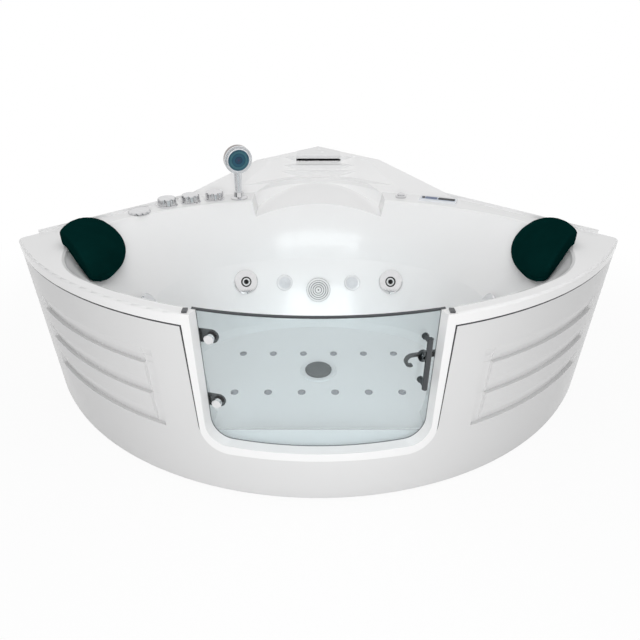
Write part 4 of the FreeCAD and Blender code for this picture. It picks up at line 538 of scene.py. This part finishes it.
low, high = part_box("shower_holder")
head_centre = (low + high) / 2
head_centre.z = DECK_HEIGHT + HEAD_HEIGHT
head_centre += HEAD_AXIS * HEAD_FORWARD
shower_chrome, shower_tree, shower_main = shader("shower_chrome")
shower_main.inputs["Metallic"].default_value = 0.85
shower_place = own_place(shower_tree)
shower_turn = shower_tree.nodes.new("ShaderNodeMapping")
shower_turn.vector_type = "TEXTURE"
shower_turn.inputs["Location"].default_value = head_centre
shower_turn.inputs["Rotation"].default_value = HEAD_AXIS.to_track_quat("Z", "Y").to_euler()
shower_tree.links.new(shower_place, shower_turn.inputs["Vector"])
shower_split = shower_tree.nodes.new("ShaderNodeSeparateXYZ")
shower_tree.links.new(shower_turn.outputs["Vector"], shower_split.inputs[0])
behind_face = reckon(shower_tree, "LESS_THAN", shower_split.outputs["Z"], HEAD_BACK)
above_neck = reckon(shower_tree, "GREATER_THAN", shower_split.outputs["Y"], NECK_LOW)
on_back = reckon(shower_tree, "MULTIPLY", behind_face, above_neck)
shower_tones = two_tone(shower_tree, on_back, SHOWER_CHROME, BACK_GREY)
shower_tree.links.new(shower_tones, shower_main.inputs["Base Color"])
handling = mottle(shower_tree, shower_place, scale=60)
uneven_gloss(shower_tree, shower_main, handling, 0.08, 0.2)
dress(shower_chrome, "hand_shower")
spray_face = banded("spray_face", head_centre, HEAD_AXIS, FACE_BANDS, grain=0.2, grains=500)
dress(spray_face, "shower_face")

# Control panel: a white surround snapped into the deck with a black touch strip and a small
# blue-grey display, which are glossy plates laid on its membrane.
SURROUND_WHITE = (0.84, 0.86, 0.89)
MEMBRANE_BLUE = (0.55, 0.60, 0.68)
PANEL_TURN = math.radians(-20)
PLATE_THICK = 0.0012
PLATE_CORNER = 0.004
PANEL_PLATES = (
    ("panel_start_key", -0.056, 0.012, 0.018, (0.012, 0.012, 0.016)),
    ("panel_display", -0.026, 0.044, 0.022, (0.16, 0.20, 0.32)),
    ("panel_touch_strip", 0.031, 0.062, 0.022, (0.006, 0.006, 0.007)),
)

panel_surround = finish(
    "panel_surround", SURROUND_WHITE, roughness=0.18, drift=0.02, clouds=20, grain=0.02,
    grains=600, coat_weight=0.4,
)
dress(panel_surround, "control_panel")
panel_membrane = finish(
    "panel_membrane", MEMBRANE_BLUE, roughness=0.3, drift=0.03, clouds=20, grain=0.05, grains=600
)
dress(panel_membrane, "control_display")
low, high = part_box("control_display")
panel_middle = Vector(((low.x + high.x) / 2, (low.y + high.y) / 2, high.z + PLATE_THICK / 2))
panel_lie = Matrix.Translation(panel_middle) @ Matrix.Rotation(PANEL_TURN, 4, "Z")
for name, across, plate_long, plate_wide, tone in PANEL_PLATES:
    form = bmesh.new()
    bmesh.ops.create_cube(form, size=1)
    bmesh.ops.scale(form, vec=(plate_long, plate_wide, PLATE_THICK), verts=form.verts)
    posts = [
        edge for edge in form.edges
        if abs(edge.verts[0].co.z - edge.verts[1].co.z) > PLATE_THICK / 2
    ]
    rounded(form, posts, PLATE_CORNER, segments=5)
    top_rim = [edge for edge in form.edges if all(vert.co.z > 0 for vert in edge.verts)]
    rounded(form, top_rim, PLATE_THICK / 4, segments=2)
    bmesh.ops.transform(
        form, matrix=panel_lie @ Matrix.Translation((across, 0, 0)), verts=form.verts
    )
    plate_gloss = finish(
        f"{name}_gloss", tone, roughness=0.3, drift=0.1, clouds=40, grain=0.01, grains=600,
        specular_ior_level=0.1,
    )
    plate = placed(name, form, plate_gloss)
    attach(plate, "bath")

# Waterfall spout: a white moulded box behind the corner step that lets out a flat sheet of
# water, closed by a pale cover that lifts off. Inside the slot, a near-black band is painted shade.
COVER_WHITE = (0.84, 0.84, 0.845)
SPOUT_BANDS_WITH_SLOT_SHADE = [
    (0.6600, (0.80, 0.80, 0.80), 0.0, 0.3),
    # Near-black band: painted shade inside the slot.
    (0.6675, (0.006, 0.006, 0.007), 0.0, 0.5),
    (0.7000, (0.80, 0.80, 0.80), 0.0, 0.3),
]

dress(banded("spout_and_slot_shade", (0, 0, 0), UP, SPOUT_BANDS_WITH_SLOT_SHADE, along=True), "waterfall_spout")
cover_white = finish(
    "cover_white", COVER_WHITE, roughness=0.25, drift=0.04, clouds=20, grain=0.02, grains=600,
    coat_weight=0.3,
)
dress(cover_white, "spout_cover")

# Water jets: a chromed flange screwed to a housing through the wall, and a turning nozzle of
# white plastic with a black ring and a dark mouth.
FLANGE_CHROME = (0.74, 0.74, 0.75)
NOZZLE_BANDS = [
    (0.0092, (0.004, 0.004, 0.004), 0.0, 0.4),
    (0.0150, (0.80, 0.80, 0.80), 0.0, 0.25),
    (0.0260, (0.004, 0.004, 0.004), 0.0, 0.3),
]

jet_chrome = finish(
    "jet_chrome", FLANGE_CHROME, roughness=0.06, drift=0.05, clouds=60, grain=0.01, grains=700,
    metallic=1.0,
)
dress(
    jet_chrome,
    "jet_body_left", "jet_body_right", "jet_body_side_left", "jet_body_side_right",
)
nozzle_turns = {
    joint["name"].removeprefix("nozzle_").removesuffix("_turn"): joint
    for joint in frame["joints"]
    if joint["name"].startswith("nozzle_")
}
for jet, joint in nozzle_turns.items():
    nozzle_rings = banded(f"nozzle_rings_{jet}", joint["pos_m"], joint["axis"], NOZZLE_BANDS)
    dress(nozzle_rings, f"jet_nozzle_{jet}")

# Lamps and suction: a white ring clamps each frosted lens, and the suction grille is a white
# moulded cover with ring grooves, held by one screw over a dark sump.
LAMP_WHITE = (0.84, 0.84, 0.85)
LENS_GREY = (0.74, 0.75, 0.77)
SUMP_GREY = (0.30, 0.305, 0.31)
GRILLE_WHITE = (0.84, 0.84, 0.84)
# Grey of the centre screw, and painted shade of the grooves.
SCREW_AND_GROOVE_SHADE_GREY = (0.14, 0.14, 0.145)
GROOVE_WIDE = 0.0022
GROOVES = (0.0132, 0.0216, 0.0301, 0.0385)
SCREW_RADIUS = 0.0035
GRILLE_RADIUS = 0.060

lamp_ring = finish(
    "lamp_ring", LAMP_WHITE, roughness=0.2, drift=0.03, clouds=30, grain=0.02, grains=600,
    coat_weight=0.4,
)
dress(lamp_ring, "lamp_bezels")
frosted_lens = finish(
    "frosted_lens", LENS_GREY, roughness=0.35, drift=0.08, clouds=90, grain=0.3, grains=900
)
dress(frosted_lens, "lamp_lenses")
sump_grey = finish(
    "sump_grey", SUMP_GREY, roughness=0.5, drift=0.1, clouds=30, grain=0.1, grains=500
)
dress(sump_grey, "suction_body")
low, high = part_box("suction_cover")
jet_axis = nozzle_turns["left"]["axis"]
wall_out = Vector((0, jet_axis[1], jet_axis[2])).normalized()
grille_bands = [(SCREW_RADIUS, SCREW_AND_GROOVE_SHADE_GREY, 0.6, 0.3)]
# Painted shade: a dark grey ring at each groove, running over the spokes between the slots as well;
# the centre band is the screw's own grey.
for groove in GROOVES:
    grille_bands.append((groove - GROOVE_WIDE / 2, GRILLE_WHITE, 0.0, 0.25))
    grille_bands.append((groove + GROOVE_WIDE / 2, SCREW_AND_GROOVE_SHADE_GREY, 0.0, 0.5))
grille_bands.append((GRILLE_RADIUS, GRILLE_WHITE, 0.0, 0.25))
dress(banded("grille_rings_and_groove_shade", (low + high) / 2, wall_out, grille_bands), "suction_cover")

# Waste and floor jets: a white moulded flange in the floor with a chromed lift-up plug, over a
# white trap, and small chromed air jets screwed through the floor in two rows.
FLANGE_WHITE = (0.86, 0.86, 0.865)
PLUG_CHROME = (0.20, 0.21, 0.215)
JET_CHROME = (0.42, 0.43, 0.45)

flange_white = finish(
    "flange_white", FLANGE_WHITE, roughness=0.2, drift=0.03, clouds=30, grain=0.02, grains=600
)
dress(flange_white, "drain_flange")
plug_chrome = finish(
    "plug_chrome", PLUG_CHROME, roughness=0.14, drift=0.1, clouds=50, grain=0.01, grains=700,
    metallic=1.0,
)
dress(plug_chrome, "drain_plug")
floor_jet_chrome = finish(
    "floor_jet_chrome", JET_CHROME, roughness=0.14, drift=0.1, clouds=50, grain=0.01,
    grains=700, metallic=1.0,
)
dress(floor_jet_chrome, "floor_injectors")

# Head pillows: moulded soft foam with a smooth, dark blue-green skin. They have no seam or
# sewing, and a rod on the back pushes into the shell. The end over the rim is cut off flat.
PILLOW_TEAL = (0.0015, 0.023, 0.021)
PILLOW_VOXEL = 0.0045
PILLOW_ROUNDS = 7
PILLOW_CUTS = ((0.785, (1, 0, 0)), (0.730, (0.662, -0.749, 0)))
PILLOW_DOUBLES = 0.00005

pillow_skin = finish(
    "pillow_skin", PILLOW_TEAL, roughness=0.42, drift=0.25, clouds=6, grain=0.22, grains=420,
    specular_ior_level=0.0,
)
for side, outward in (("left", -1), ("right", 1)):
    core_mesh = nodes[f"pillow_{side}"].data.copy()
    form = bmesh.new()
    form.from_mesh(core_mesh)
    bmesh.ops.remove_doubles(form, verts=form.verts, dist=PILLOW_DOUBLES)
    for reach, way in PILLOW_CUTS:
        facing = Vector((outward * way[0], way[1], way[2]))
        everything = form.verts[:] + form.edges[:] + form.faces[:]
        bmesh.ops.bisect_plane(
            form, geom=everything, plane_co=facing * reach, plane_no=facing, clear_outer=True
        )
        open_rim = [edge for edge in form.edges if edge.is_boundary]
        bmesh.ops.holes_fill(form, edges=open_rim, sides=0)
    form.to_mesh(core_mesh)
    form.free()
    core = bpy.data.objects.new(f"{side}_core", core_mesh)
    bpy.context.scene.collection.objects.link(core)
    foam = core.modifiers.new("foam", "REMESH")
    foam.mode = "VOXEL"
    foam.voxel_size = PILLOW_VOXEL
    bpy.context.view_layer.update()
    shaped_core = core.evaluated_get(bpy.context.evaluated_depsgraph_get())
    foam_mesh = bpy.data.meshes.new_from_object(shaped_core)
    bpy.data.objects.remove(core)
    form = bmesh.new()
    form.from_mesh(foam_mesh)
    for _ in range(PILLOW_ROUNDS):
        bmesh.ops.smooth_vert(
            form, verts=form.verts, factor=0.5, use_axis_x=True, use_axis_y=True, use_axis_z=True
        )
    for face in form.faces:
        face.smooth = True
    pillow = placed(f"{side}_head_pillow", form, pillow_skin)
    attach(pillow, "bath")
    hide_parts(f"pillow_{side}")

# Pump, blower and pipes: a black water pump and a dark air blower stand on the frame's shelves,
# joined to the jets by rigid white pipe. The control box is grey moulded plastic.
PUMP_BLACK = (0.03, 0.032, 0.036)
BLOWER_DARK = (0.06, 0.065, 0.07)
WATER_PIPE_WHITE = (0.74, 0.75, 0.75)
AIR_PIPE_GREY = (0.60, 0.62, 0.63)
BOX_GREY = (0.36, 0.37, 0.38)

pump_paint = finish(
    "pump_paint", PUMP_BLACK, roughness=0.4, drift=0.15, clouds=25, grain=0.2, grains=500
)
dress(pump_paint, "water_pump")
blower_plastic = finish(
    "blower_plastic", BLOWER_DARK, roughness=0.55, drift=0.12, clouds=25, grain=0.3, grains=400
)
dress(blower_plastic, "air_blower")
water_pipe = finish(
    "water_pipe", WATER_PIPE_WHITE, roughness=0.35, drift=0.04, clouds=12, grain=0.05, grains=400
)
dress(water_pipe, "water_pipes")
air_pipe = finish(
    "air_pipe", AIR_PIPE_GREY, roughness=0.4, drift=0.05, clouds=12, grain=0.05, grains=400
)
dress(air_pipe, "air_pipes")
box_grey = finish(
    "box_grey", BOX_GREY, roughness=0.5, drift=0.06, clouds=25, grain=0.3, grains=500
)
dress(box_grey, "control_box")
